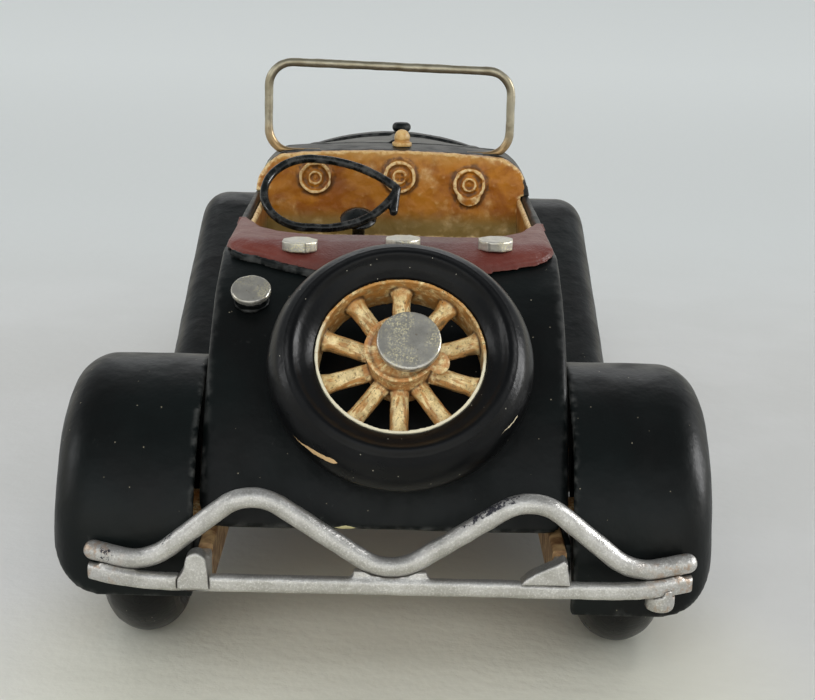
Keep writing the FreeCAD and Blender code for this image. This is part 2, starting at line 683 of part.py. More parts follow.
def save_bonnet():
    """The engine cover narrows to the radiator and has louvres in its sides."""
    rear = arch(BODY_HALF_WIDTH, 49.5, 57.8, PAN_TOP)
    front = arch(FRONT_BODY_HALF, 45.0, 50.8, PAN_TOP, FRONT_CROWN)
    rear_inner = arch(BODY_HALF_WIDTH - WALL, 48.6, 57.8 - WALL, PAN_TOP - 2)
    front_inner = arch(FRONT_BODY_HALF - WALL, 44.1, 50.8 - WALL, PAN_TOP - 2, FRONT_CROWN)

    def section_wire(points, x):
        outline = wire(points)
        outline.translate(FORWARD * x)
        return outline

    x0 = COWL_FRONT_X
    x1 = RADIATOR_REAR_X
    outer = Part.makeLoft([section_wire(rear, x0), section_wire(front, x1)], True, True)
    hollow = Part.makeLoft([section_wire(rear_inner, x0), section_wire(front_inner, x1)], True, True)
    bonnet = outer.cut(hollow)
    slope = (BODY_HALF_WIDTH - FRONT_BODY_HALF) / (x1 - x0)
    louvres = []
    for k in range(12):
        x = 24.0 + 3.6 * k
        y = BODY_HALF_WIDTH - slope * (x - x0) - 0.25
        slot = [plan(x, y), plan(x + 2.2, y - slope * 2.2), plan(x, y + 0.9), plan(x, y)]
        louvres.append(prism(slot, UP * 28, UP * 14))
    hinge = Part.makeCylinder(0.6, x1 - x0, Vector(x0, 0, 57.8), Vector(x1 - x0, 0, 50.8 - 57.8))
    bonnet = bonnet.multiFuse(louvres + [mirror_y(s) for s in louvres] + [hinge])
    bonnet = bonnet.common(box(x0, x1, -30, 30, 10, 70)).removeSplitter()
    save("bonnet", bonnet)


def save_radiator():
    x0 = RADIATOR_REAR_X
    depth = RADIATOR_FRONT_X - RADIATOR_REAR_X
    outer = arch(FRONT_BODY_HALF + 0.5, 45.2, 51.4, PAN_TOP, FRONT_CROWN)
    outer = prism(outer, FORWARD * x0, FORWARD * depth)
    window = arch(17.6, 42.6, 48.4, PAN_TOP + 3.2, FRONT_CROWN)
    window = prism(window, FORWARD * (x0 - 1), FORWARD * (depth + 2))

    def on_front_rim(edge):
        return lies_on(edge, "x", RADIATOR_FRONT_X) and edge.BoundBox.ZMax > PAN_TOP + 1

    shell = round_edges(outer, 0.5, on_front_rim).cut(window)
    filling = arch(17.55, 42.6, 48.35, PAN_TOP + 3.25, FRONT_CROWN)
    core = prism(filling, FORWARD * (x0 + 0.6), FORWARD * 1.0)
    bars = [
        rod(Vector(x0 + 2.0, y, PAN_TOP + 3), UP, 0.5, 26)
        for y in [1.8 * k for k in range(-9, 10)]
    ]
    reach = prism(filling, FORWARD * (x0 + 0.6), FORWARD * (depth - 1))
    grille = core.multiFuse(bars).common(reach).removeSplitter()
    column = Vector(x0 + depth / 2, CAP_Y, 50.6)
    cap = spun([(0, 0), (1.5, 0), (1.5, 0.9), ((2.1, 1.9), (1.3, 2.9)), (0, 3.0), (0, 0)])
    cap.translate(column)
    save("radiator_shell", shell)
    save("radiator_grille", grille)
    save("radiator_cap", cap.cut(outer).removeSplitter())


# ---- trim on the tail ---------------------------------------------------------------------------------------
PAD_THICK = 1.4
PAD_FRONT_X = COCKPIT_REAR_X + 1.2
EAR_TIP_X = -37.0
STUDS = ((-60.2, 12.7), (-58.9, -1.8), (-58.7, -14.9))


def pad_half(rear_x):
    """Half of the crescent seen from above, from the middle of its front edge to its rear corner at rear_x."""
    edge_y = BODY_HALF_WIDTH - 0.3
    return [
        plan(PAD_FRONT_X, 9),
        (plan(PAD_FRONT_X + 1.2, 15), plan(PAD_FRONT_X + 5.5, 19.8)),
        plan(EAR_TIP_X - 1.2, 22.3),
        (plan(EAR_TIP_X, edge_y - 0.6), plan(EAR_TIP_X - 1.6, edge_y)),
        plan(rear_x + 3.0, edge_y),
        (plan(rear_x - 0.6, edge_y - 1.4), plan(rear_x - 2.3, edge_y - 4.8)),
    ]


def pad_plan(back):
    """The crescent seen from above, its rear edge carried back by this much. The right goes further back."""
    rear_x = TAIL_TOP[0] - 0.5 - back
    left = pad_half(rear_x)
    right = pad_half(rear_x - 1.0)
    ends = [item[1] if isinstance(item, tuple) else item for item in right]
    path = [(plan(rear_x - 7.1, -1), mirrored(ends[-1]))]
    for k in range(len(right) - 1, 0, -1):
        end = mirrored(ends[k - 1])
        path.append((mirrored(right[k][0]), end) if isinstance(right[k], tuple) else end)
    return left + path + [left[0]]


def mirrored(point):
    return Vector(point.x, -point.y, point.z)


def save_deck_pad():
    """A crescent pad on the deck behind the seats, with an ear along each side of the cockpit."""
    top_r = DECK_R + PAD_THICK
    start_x = TAIL_TOP[0] - 12
    knee_x = TAIL_TOP[0]
    ear_tip_x = EAR_TIP_X + 1
    fall = (SIDE_TOP_Z - TAIL_TOP[1]) / (COWL_FRONT_X - TAIL_TOP[0])
    tip_z = TAIL_TOP[1] + fall * (ear_tip_x - knee_x)
    mid_x = (start_x + knee_x) / 2
    band = [
        side(start_x, deck_z(start_x)),
        (side(mid_x, deck_z(mid_x)), side(knee_x, TAIL_TOP[1])),
        side(ear_tip_x, tip_z),
        side(ear_tip_x, tip_z + PAD_THICK),
        side(knee_x + 0.6, TAIL_TOP[1] + PAD_THICK),
        (side(mid_x, deck_z(mid_x, top_r)), side(start_x, deck_z(start_x, top_r))),
        side(start_x, deck_z(start_x)),
    ]
    band = prism(band, LEFT * -30, LEFT * 60)
    pad = band.common(prism(pad_plan(0), UP * 30, UP * 40))
    save("deck_pad", pad)
    bead_r = DECK_R + PAD_THICK * 0.6
    low = band.common(rod(Vector(DECK_CENTRE[0], -30, DECK_CENTRE[1]), LEFT, bead_r, 60))
    bead = low.common(prism(pad_plan(0.9), UP * 30, UP * 40)).cut(prism(pad_plan(0), UP * 30, UP * 40))
    bead = bead.common(box(-80, TAIL_TOP[0] - 1.5, -4, 30, 30, 70))
    save("deck_pad_bead", max(bead.Solids, key=lambda solid: solid.Volume))

    studs = []
    for x, y in STUDS:
        foot = Vector(x, y, deck_z(x) + PAD_THICK - 0.1)
        outline = [foot + Vector(2.7 * math.cos(a), 2.7 * math.sin(a), 0) for a in
                   (math.radians(45 * k + 20) for k in range(9))]
        stud = Part.Face(wire(outline)).extrude(Vector(0, 0, 1.5))
        studs.append(stud.cut(band))
    save("deck_pad_studs", *[s.Solids[0] for s in studs])


def save_filler():
    foot = Vector(FILLER_X, FILLER_Y, deck_z(FILLER_X))
    neck = rod(foot - FILLER_AXIS * 2, FILLER_AXIS, 1.6, 3.6)
    flange = rod(foot - FILLER_AXIS * 2, FILLER_AXIS, 2.5, 2.5)
    deck = rod(Vector(DECK_CENTRE[0], -30, DECK_CENTRE[1]), LEFT, DECK_R, 60)
    save("filler_neck", neck.fuse(flange).cut(deck).removeSplitter())
    cap = Part.makeCylinder(2.75, 0.9)
    cap = round_edges(cap, 0.25, lambda e: lies_on(e, "z", 0.9))
    save("filler_cap", aim(cap, foot + FILLER_AXIS * 1.6, FILLER_AXIS))


def save_spare():
    save("spare_tyre", aim(tyre(), SPARE_CENTRE, SPARE_AXIS))
    deck = rod(Vector(DECK_CENTRE[0], -30, DECK_CENTRE[1]), LEFT, DECK_R, 60)
    spare = aim(wheel(AXLE_R, -SPARE_STANDOFF - 0.6), SPARE_CENTRE, SPARE_AXIS)
    shank = rod(NAIL_FOOT - SPARE_AXIS * 5, SPARE_AXIS, NAIL_SHANK_R, 20)
    save("spare_wheel", spare.cut(deck).cut(shank))
    nail = nail_head()
    nail.translate(UP * SPARE_NAIL_LIFT)
    nail = nail.fuse(Part.makeCylinder(NAIL_SHANK_R, NAIL_HEAD_Z + SPARE_NAIL_LIFT + 11, Vector(0, 0, -11)))
    save("spare_nail", aim(nail.removeSplitter(), SPARE_CENTRE - LEFT * NAIL_SHIFT, SPARE_AXIS))


# ---- cockpit ------------------------------------------------------------------------------------------------
def save_seat():
    floor_z = PAN_TOP + 0.8
    half = 20.0
    top_z = 31.5
    front_x = -25.0

    def on_top_or_front_corner(edge):
        return lies_on(edge, "z", top_z) or lies_on(edge, "x", front_x) and edge.BoundBox.ZLength > 5

    cushion = box(-45.5, front_x, -half, half, floor_z, top_z)
    save("seat_cushion", round_edges(cushion, 2.0, on_top_or_front_corner))
    back_x = COCKPIT_REAR_X + 0.05 + 0.8
    back = [
        side(back_x, floor_z),
        side(-45.5, floor_z),
        side(-45.5, top_z),
        side(-47.2, 47.5),
        (side(-49.0, 49.3), side(-50.6, 47.5)),
        side(back_x, 44),
        side(back_x, floor_z),
    ]
    save("seat_back", prism(back, LEFT * -half, LEFT * 2 * half))


KNOB_SPHERE_R = 4.2  # the column's head is a lens between two such spheres
KNOB_HALF_THICK = 1.5
KNOB_AXIS = Vector(-0.42, 0, 0.91)
LOOP_WIRE_R = 0.76
LOOP_LIFT = 1.6
SCREEN_WIRE_R = 0.8
SCREEN_X = 2.2


def save_steering():
    """A column with a lens-shaped head, and a wheel bent from one rod into a drop with a short tail at its tip."""
    up_plane = Vector(math.sin(STEERING_TILT), 0, math.cos(STEERING_TILT))

    def at(a, b, lift=LOOP_LIFT):
        return STEERING_HEAD + STEERING_AXIS * lift + LEFT * a + up_plane * b

    tip = at(-6.4, 4.9)
    low = at(7.5, -4.0)
    high = at(7.5, 11.2)
    strands = [
        wire([tip, (at(-0.4, -2.4), low)]),
        wire([low, (at(16.0, 3.6), high)]),
        wire([high, (at(-0.4, 9.2), tip)]),
    ]
    pieces = [tube_along(strand, LOOP_WIRE_R) for strand in strands]
    pieces += [Part.makeSphere(LOOP_WIRE_R, point) for point in (tip, low, high)]
    tail_end = at(-5.9, 0.4, LOOP_LIFT - 0.7)
    pieces.append(rod(tip, tail_end - tip, LOOP_WIRE_R, (tail_end - tip).Length))
    pieces.append(Part.makeSphere(LOOP_WIRE_R, tail_end))
    loop = pieces[0].multiFuse(pieces[1:])

    column = rod(STEERING_HEAD - STEERING_AXIS * COLUMN_LENGTH, STEERING_AXIS, COLUMN_R, COLUMN_LENGTH)
    knob = Part.makeSphere(KNOB_SPHERE_R, Vector(0, 0, KNOB_HALF_THICK - KNOB_SPHERE_R))
    knob = knob.common(Part.makeSphere(KNOB_SPHERE_R, Vector(0, 0, KNOB_SPHERE_R - KNOB_HALF_THICK)))
    head = aim(knob, STEERING_HEAD - STEERING_AXIS * 0.6, KNOB_AXIS)
    save("steering_wheel", loop.cut(head))
    save("steering_column", column.fuse(head).removeSplitter())


def save_windscreen():
    """A loop of rod whose foot is sunk in the cowl."""
    x = SCREEN_X
    middle = 0.8
    half = 21.2
    low = 56.7
    high = 72.5
    corner = 4.2
    dip = 1.0  # the right side stands a little lower
    corners = [
        Vector(x, middle, high - dip / 2),
        Vector(x, middle + half, high),
        Vector(x, middle + half, low),
        Vector(x, middle - half, low),
        Vector(x, middle - half, high - dip),
        Vector(x, middle, high - dip / 2),
    ]
    frame = tube_along(rounded_path(corners, [corner] * 4), SCREEN_WIRE_R)
    cowl = cowl_block(10)
    save("windscreen_frame", frame.cut(cowl))
    stem = Vector(SCREEN_X + 2.6, CAP_Y, 56)
    boss = rod(stem, UP, 1.8, 2.6).fuse(Part.makeSphere(1.45, stem + UP * 3.4)).cut(cowl)
    save("cowl_boss", boss.removeSplitter())


# ---- bumpers and lamps --------------------------------------------------------------------------------------
UPPER_BAR_R = 1.3
LOWER_BAR_Z = 16.8
LOWER_BAR_DEPTH = 1.8
LOWER_BAR_HALF_HEIGHT = 1.1
BUMPER_HALF = 37.3
BUMPER_Y = -1.0  # the bumpers sit a little to the right
PEAK = (17.4, 29.3)
TROUGH_Z = 17.9
BUMPER_END_Z = 19.4
BAR_WRAP = 2.9  # how far the ends turn in towards the fenders


def rear_upper_bar():
    """A rod bent into two humps, its ends turned in."""
    x = -HALF_LENGTH + UPPER_BAR_R
    left = [Vector(x + BAR_WRAP, BUMPER_HALF, BUMPER_END_Z), Vector(x + 0.3, 30.2, 18.9), Vector(x, *PEAK)]
    right = [Vector(p.x, -p.y, p.z) for p in reversed(left)]
    corners = left + [Vector(x, 0, TROUGH_Z)] + right
    bar = tube_along(rounded_path(corners, [8, 6, 6.5, 6, 8]), UPPER_BAR_R)
    ends = [Part.makeSphere(UPPER_BAR_R, p) for p in (left[0], right[-1])]
    return bar.multiFuse(ends)


def rear_lower_bar(upper):
    """A flat bar below the humps, with webs where the two bars were joined in casting."""
    back_x = -HALF_LENGTH
    bend_y = 26.5
    wrap = BAR_WRAP + 0.3
    end_x = back_x + wrap
    d = LOWER_BAR_DEPTH
    tip_y = BUMPER_HALF + 0.7
    run = tip_y - bend_y
    bend_r = (wrap**2 + run**2) / (2 * wrap)
    half_turn = math.asin(run / bend_r) / 2
    mid_x = back_x + bend_r * (1 - math.cos(half_turn))
    mid_y = bend_y + bend_r * math.sin(half_turn)
    shape = [
        plan(back_x, -bend_y),
        plan(back_x, bend_y),
        (plan(mid_x, mid_y), plan(end_x, tip_y)),
        plan(end_x + d, tip_y),
        (plan(mid_x + d, mid_y), plan(back_x + d, bend_y)),
        plan(back_x + d, -bend_y),
        (plan(mid_x + d, -mid_y), plan(end_x + d, -tip_y)),
        plan(end_x, -tip_y),
        (plan(mid_x, -mid_y), plan(back_x, -bend_y)),
    ]
    z0 = LOWER_BAR_Z - LOWER_BAR_HALF_HEIGHT
    z1 = LOWER_BAR_Z + LOWER_BAR_HALF_HEIGHT
    bar = prism(shape, UP * z0, UP * 2 * LOWER_BAR_HALF_HEIGHT)
    bar = round_edges(bar, 0.6, lambda e: e.Length > 8 and e.BoundBox.ZLength < 0.01)
    web = box(back_x + 0.5, back_x + d, -4.6, 4.6, z1 - 0.2, z1 + 0.9)
    ends = [end_web(s, z1) for s in (1, -1)]
    return bar.multiFuse([web] + ends).cut(upper).removeSplitter()


def end_web(s, z):
    """The metal between the two bars at one end, s = 1 on the left."""
    back_x = -HALF_LENGTH
    shape = [
        plan(back_x + 1.3, s * 31.8),
        plan(back_x + 2.8, s * 36.4),
        plan(back_x + 4.6, s * 36.4),
        plan(back_x + 3.1, s * 31.8),
        plan(back_x + 1.3, s * 31.8),
    ]
    return prism(shape, UP * (z - 0.2), UP * 1.8)


def thumb_face(y):
    """The left fin: a thumb that clasps the lower bar."""
    return [
        section(y - 1.9, 15.9),
        section(y + 2.2, 15.9),
        section(y + 2.2, 17.4),
        (section(y + 1.5, 18.4), section(y + 1.2, 19.7)),
        (section(y, 20.9), section(y - 1.5, 19.9)),
        section(y - 1.9, 15.9),
    ]


def shark_face(y):
    """The right fin: it stands on the lower bar and rises slowly outwards to a blunt tip."""
    return [
        section(y - 2.6, 17.6),
        section(y + 3.8, 17.6),
        (section(y + 2.5, 18.8), section(y + 1.1, 19.6)),
        section(y - 1.1, 20.6),
        (section(y - 1.8, 20.9), section(y - 2.1, 20.3)),
        section(y - 2.6, 17.6),
    ]


def rear_bracket(face, rail_side):
    """A fin on an arm that meets the end of a frame rail."""
    fin = prism(face, FORWARD * -HALF_LENGTH, FORWARD * 2.6)
    rail_y = rail_side * (RAIL_INNER_Y + SILL_INNER_Y) / 2
    arm = box(-HALF_LENGTH + 2, -RAIL_END_X, rail_y - 0.9, rail_y + 0.9, 15.6, 19.8)
    return fin.fuse(arm)


def save_bumpers():
    upper = rear_upper_bar()
    lower = rear_lower_bar(upper)
    brackets = [rear_bracket(thumb_face(23.2), 1), rear_bracket(shark_face(-20.8), -1)]
    lug = rod(Vector(-HALF_LENGTH + 3.0, -34.9, LOWER_BAR_Z - 3.2), UP, 1.9, 3.2)
    lug = round_edges(lug, 0.7, lambda e: lies_on(e, "z", LOWER_BAR_Z - 3.2) and e.Length > 5)
    for bar in (upper, lower):
        bar.translate(LEFT * BUMPER_Y)
    brackets = [b.cut(upper).removeSplitter() for b in brackets]
    for bracket in brackets:
        lower = lower.cut(bracket)
    save("rear_bumper_upper_bar", upper)
    save("rear_bumper_lower_bar", lower)
    save("front_bumper_upper_bar", mirror_x(upper))
    save("front_bumper_lower_bar", mirror_x(lower))
    save("bumper_brackets", *brackets, *[mirror_x(b) for b in brackets], lug.cut(lower))


LAMP_X = 87.2
LAMP_BAR_X = 80.9
LAMP_Y = 17.0
LAMP_Z = 40.0
LAMP_R = 6.2
LAMP_BAR_Z = 30.5


def bowl(radius, depth, mouth_r, mouth_z):
    """A round-bottomed dish, from depth below its mouth plane up to mouth_z, where it is mouth_r wide."""
    return spun(
        [
            (0, -depth),
            ((radius * 0.72, -depth * 0.66), (radius, 0)),
            (mouth_r, 0),
            (mouth_r, mouth_z),
            (0, mouth_z),
            (0, -depth),
        ]
    )


def save_headlamps():
    shell = bowl(LAMP_R, 7.4, LAMP_R + 0.5, 1.4).cut(bowl(LAMP_R - 0.9, 6.4, LAMP_R - 0.6, 2.0))
    swept = bowl(LAMP_R, 7.4, LAMP_R + 0.5, 3.0)
    glass_r = LAMP_R - 0.62
    bulge = 1.6
    glass_sphere_r = (glass_r**2 + bulge**2) / (2 * bulge)
    dome = Part.makeSphere(glass_sphere_r, Vector(0, 0, 1.0 + bulge - glass_sphere_r))
    lens = Part.makeCylinder(glass_r, 5, Vector(0, 0, 0.2)).common(dome)
    bar = rod_y(LAMP_BAR_X, LAMP_BAR_Z, 1.1, -BODY_HALF_WIDTH, BODY_HALF_WIDTH)
    shells = []
    lenses = []
    for y in (LAMP_Y, -LAMP_Y):
        centre = Vector(LAMP_X, y, LAMP_Z)
        shells.append(aim(shell, centre, FORWARD))
        lenses.append(aim(lens, centre, FORWARD))
        stalk = rod(Vector(LAMP_BAR_X, y, LAMP_BAR_Z), UP, 1.0, LAMP_Z - LAMP_BAR_Z)
        bar = bar.fuse(stalk.cut(aim(swept, centre, FORWARD)))
    save("headlamp_shells", *shells)
    save("headlamp_lenses", *lenses)
    save("headlamp_bar", bar.removeSplitter())


def main():
    os.makedirs("parts", exist_ok=True)
    save_chassis()
    save_fenders()
    save_running_boards()
    save_body()
    save_dash()
    save_bonnet()
    save_radiator()
    save_deck_pad()
    save_filler()
    save_spare()
    save_seat()
    save_steering()
    save_windscreen()
    save_bumpers()
    save_headlamps()
    save_axle_set("rear", REAR_AXLE_X)
    save_axle_set("front", FRONT_AXLE_X)
    save_motor()


main()
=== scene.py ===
import json
import math

import bmesh
import bpy
import numpy as np
from mathutils import Matrix, Vector, noise

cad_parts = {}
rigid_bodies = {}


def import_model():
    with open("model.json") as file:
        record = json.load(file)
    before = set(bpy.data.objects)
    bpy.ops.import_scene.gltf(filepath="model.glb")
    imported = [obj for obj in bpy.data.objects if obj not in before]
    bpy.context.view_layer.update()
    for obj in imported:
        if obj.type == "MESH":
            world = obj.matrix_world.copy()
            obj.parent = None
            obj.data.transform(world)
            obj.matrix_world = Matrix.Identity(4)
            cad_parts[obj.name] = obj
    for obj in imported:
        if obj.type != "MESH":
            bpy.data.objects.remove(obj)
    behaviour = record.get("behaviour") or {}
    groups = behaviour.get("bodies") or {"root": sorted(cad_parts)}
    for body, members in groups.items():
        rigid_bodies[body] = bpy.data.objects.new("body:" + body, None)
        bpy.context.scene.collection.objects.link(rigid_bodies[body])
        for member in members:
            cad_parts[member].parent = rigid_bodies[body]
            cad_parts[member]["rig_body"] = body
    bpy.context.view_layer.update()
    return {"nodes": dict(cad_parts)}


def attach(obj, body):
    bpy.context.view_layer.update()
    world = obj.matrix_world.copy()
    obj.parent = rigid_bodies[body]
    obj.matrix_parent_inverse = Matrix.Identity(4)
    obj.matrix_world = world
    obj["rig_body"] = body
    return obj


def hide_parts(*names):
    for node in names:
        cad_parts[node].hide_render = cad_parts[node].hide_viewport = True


# The looks of a small cast and hand-painted toy roadster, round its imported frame. Every length here is in
# millimetres until a mesh or a light is made: MM turns it into the frame's metres.
MM = 0.001

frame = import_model()
nodes = frame["nodes"]


# ---- mesh helpers --------------------------------------------------------------------------------
def mm(x, y, z):
    return Vector((x, y, z)) * MM


def points_of(mesh):
    """A mesh's points in millimetres, one row each."""
    flat = np.empty(len(mesh.vertices) * 3)
    mesh.vertices.foreach_get("co", flat)
    return flat.reshape(-1, 3) / MM


def put_points(mesh, points):
    mesh.vertices.foreach_set("co", (points * MM).ravel())
    mesh.update()


def normals_of(mesh):
    flat = np.empty(len(mesh.vertices) * 3, np.float32)
    mesh.vertex_normals.foreach_get("vector", flat)
    return flat.reshape(-1, 3).astype(float)


def edges_of(mesh):
    flat = np.empty(len(mesh.edges) * 2, np.int32)
    mesh.edges.foreach_get("vertices", flat)
    return flat.reshape(-1, 2)


def relax(points, edges, steps, amount=0.5):
    """Moves every point towards the mean of its neighbours, steps times."""
    a, b = edges.T
    count = len(points)
    degree = np.maximum(np.bincount(a, minlength=count) + np.bincount(b, minlength=count), 1)
    for _ in range(steps):
        mean = np.empty_like(points)
        for axis in range(3):
            total = np.bincount(a, points[b, axis], count) + np.bincount(b, points[a, axis], count)
            mean[:, axis] = total / degree
        points = points + amount * (mean - points)
    return points


def lumps(points, size, seed):
    """Smooth random heights from about -1 to 1, with hollows and swellings of this size."""
    shift = Vector((seed * 17.3, seed * 5.1, seed * 9.7))
    return np.array([noise.noise(Vector(p) / size + shift) for p in points])


def smoothstep(value, low, high):
    t = np.clip((value - low) / (high - low), 0.0, 1.0)
    return t * t * (3 - 2 * t)


def set_attribute(mesh, name, values):
    attribute = mesh.attributes.get(name) or mesh.attributes.new(name, "FLOAT", "POINT")
    attribute.data.foreach_set("value", np.asarray(values, np.float32))


def new_object(name, mesh):
    obj = bpy.data.objects.new(name, mesh)
    bpy.context.scene.collection.objects.link(obj)
    return obj


def apply_modifiers(obj):
    """Bakes an object's modifiers into its mesh."""
    bpy.context.view_layer.update()
    shaped = obj.evaluated_get(bpy.context.evaluated_depsgraph_get())
    mesh = bpy.data.meshes.new_from_object(shaped)
    obj.modifiers.clear()
    obj.data = mesh


def shade_smooth(mesh):
    mesh.polygons.foreach_set("use_smooth", np.ones(len(mesh.polygons), bool))


def joined(name, node_names, extras=()):
    """One object with copies of CAD meshes and of extra bmeshes."""
    bm = bmesh.new()
    for node in node_names:
        bm.from_mesh(nodes[node].data)
    for extra in extras:
        mesh = bpy.data.meshes.new("extra")
        extra.to_mesh(mesh)
        bm.from_mesh(mesh)
        bpy.data.meshes.remove(mesh)
        extra.free()
    mesh = bpy.data.meshes.new(name)
    bm.to_mesh(mesh)
    bm.free()
    return new_object(name, mesh)


def cavity_attribute(mesh, reach):
    """Stores how far the surroundings stand above each point: below 0 on edges, above 0 in creases."""
    points = points_of(mesh)
    around = relax(points, edges_of(mesh), reach)
    height = np.einsum("ij,ij->i", around - points, normals_of(mesh))
    set_attribute(mesh, "relief", height)


def cast(name, node_names, voxel, soften=3, lump=0.04, lump_size=3.0, keep=1.0, extras=(), seed=1):
    """A hand-cast copy of CAD nodes: softened edges and slightly uneven faces, as a fine even skin."""
    obj = joined(name, node_names, extras)
    solid = np.vstack([points_of(nodes[node].data) for node in node_names])
    low, high = solid.min(axis=0), solid.max(axis=0)
    skin = obj.modifiers.new("skin", "REMESH")
    skin.mode = "VOXEL"
    skin.voxel_size = voxel * MM
    apply_modifiers(obj)
    mesh = obj.data
    points = relax(points_of(mesh), edges_of(mesh), soften)
    put_points(mesh, points)
    uneven = lumps(points, lump_size, seed) + 0.4 * lumps(points, lump_size / 3, seed + 1)
    points = points + normals_of(mesh) * ((uneven - 0.5) * lump)[:, None]
    put_points(mesh, np.clip(points, low, high))
    cavity_attribute(mesh, max(4, round(1.6 / voxel**2)))
    if keep < 1:
        thin = obj.modifiers.new("thin", "DECIMATE")
        thin.ratio = keep
        apply_modifiers(obj)
        put_points(obj.data, np.clip(points_of(obj.data), low, high))
    shade_smooth(obj.data)
    for node in node_names:
        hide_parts(node)
    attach(obj, nodes[node_names[0]]["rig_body"])
    return obj


def smooth_line(points, steps=6):
    """Points along a smooth curve through the given ones."""
    points = [np.array(p, float) for p in points]
    padded = [2 * points[0] - points[1]] + points + [2 * points[-1] - points[-2]]
    line = []
    for a, b, c, d in zip(padded, padded[1:], padded[2:], padded[3:]):
        for k in range(steps):
            t = k / steps
            square, cube = 2 * a - 5 * b + 4 * c - d, 3 * b - a - 3 * c + d
            line.append(0.5 * (2 * b + (c - a) * t + square * t**2 + cube * t**3))
    return line + [points[-1]]


def placing(centre, axis):
    """The turn and shift that carry a piece made about Z to a centre, its Z along axis, its Y up."""
    axis = Vector(axis).normalized()
    up = Vector((0, 0, 1))
    up = (up - axis * up.dot(axis)).normalized()
    turn = Matrix((up.cross(axis), up, axis)).transposed()
    return np.array(turn), np.array(centre, float)


def lathe(name, outline, place, turns=160):
    """A ring spun about Z from a closed (radius, height) outline and carried to its place."""
    turn, centre = place
    bm = bmesh.new()
    rows = []
    for k in range(turns):
        angle = 2 * math.pi * k / turns
        local = [np.array((r * math.cos(angle), r * math.sin(angle), z)) for r, z in outline]
        rows.append([bm.verts.new(Vector((turn @ p + centre) * MM)) for p in local])
    for row, after in zip(rows, rows[1:] + rows[:1]):
        for a, b, c, d in zip(row, row[1:] + row[:1], after[1:] + after[:1], after):
            bm.faces.new((a, d, c, b))
    bmesh.ops.recalc_face_normals(bm, faces=bm.faces)
    mesh = bpy.data.meshes.new(name)
    bm.to_mesh(mesh)
    bm.free()
    shade_smooth(mesh)
    return new_object(name, mesh)


def wheel_attributes(mesh, place):
    """Stores each point's radius, angle in degrees and height in a wheel's own frame."""
    turn, centre = place
    local = (points_of(mesh) - centre) @ turn
    set_attribute(mesh, "wheel_reach", np.hypot(local[:, 0], local[:, 1]))
    set_attribute(mesh, "wheel_turn", np.degrees(np.arctan2(local[:, 1], local[:, 0])))
    set_attribute(mesh, "wheel_height", local[:, 2])


SIM = 12.0  # the cloth is simulated this many times larger


def stuffed(name, node, voxel, shrink, swell, rest=None, seed=1):
    """A soft piece blown up inside its cover: a voxel copy of a CAD node, inflated by a cloth simulation.

    No point moves more than swell. rest(points) gives how freely each may move, from 0 to 1.
    """
    obj = joined(name, [node])
    put_points(obj.data, points_of(obj.data) * SIM)
    skin = obj.modifiers.new("skin", "REMESH")
    skin.mode = "VOXEL"
    skin.voxel_size = voxel * MM * SIM
    apply_modifiers(obj)
    points = points_of(obj.data) / SIM
    points = relax(points, edges_of(obj.data), 2)
    start = points - normals_of(obj.data) * shrink
    put_points(obj.data, start * SIM)
    moved = start + normals_of(obj.data) * swell * 0.6
    cloth = obj.modifiers.new("cloth", "CLOTH")
    cloth.settings.use_pressure = True
    cloth.settings.uniform_pressure_force = 4.0
    cloth.settings.effector_weights.gravity = 0.0
    cloth.settings.quality = 5
    scene = bpy.context.scene
    for step in range(1, 21):
        scene.frame_set(step)
    apply_modifiers(obj)
    scene.frame_set(1)
    moved = points_of(obj.data) / SIM
    shift = moved - start
    length = np.linalg.norm(shift, axis=1, keepdims=True) + 1e-9
    shift *= swell * np.tanh(length / swell) / length
    if rest is not None:
        shift *= rest(points)[:, None]
    points = start + shift
    put_points(obj.data, points)
    smoother = obj.modifiers.new("smoother", "SUBSURF")
    smoother.levels = smoother.render_levels = 1
    apply_modifiers(obj)
    points = points_of(obj.data)
    uneven = lumps(points, 3.0, seed) * 0.05 + lumps(points, 0.9, seed + 1) * 0.02
    put_points(obj.data, points + normals_of(obj.data) * uneven[:, None])
    shade_smooth(obj.data)
    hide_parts(node)
    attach(obj, nodes[node]["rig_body"])
    return obj


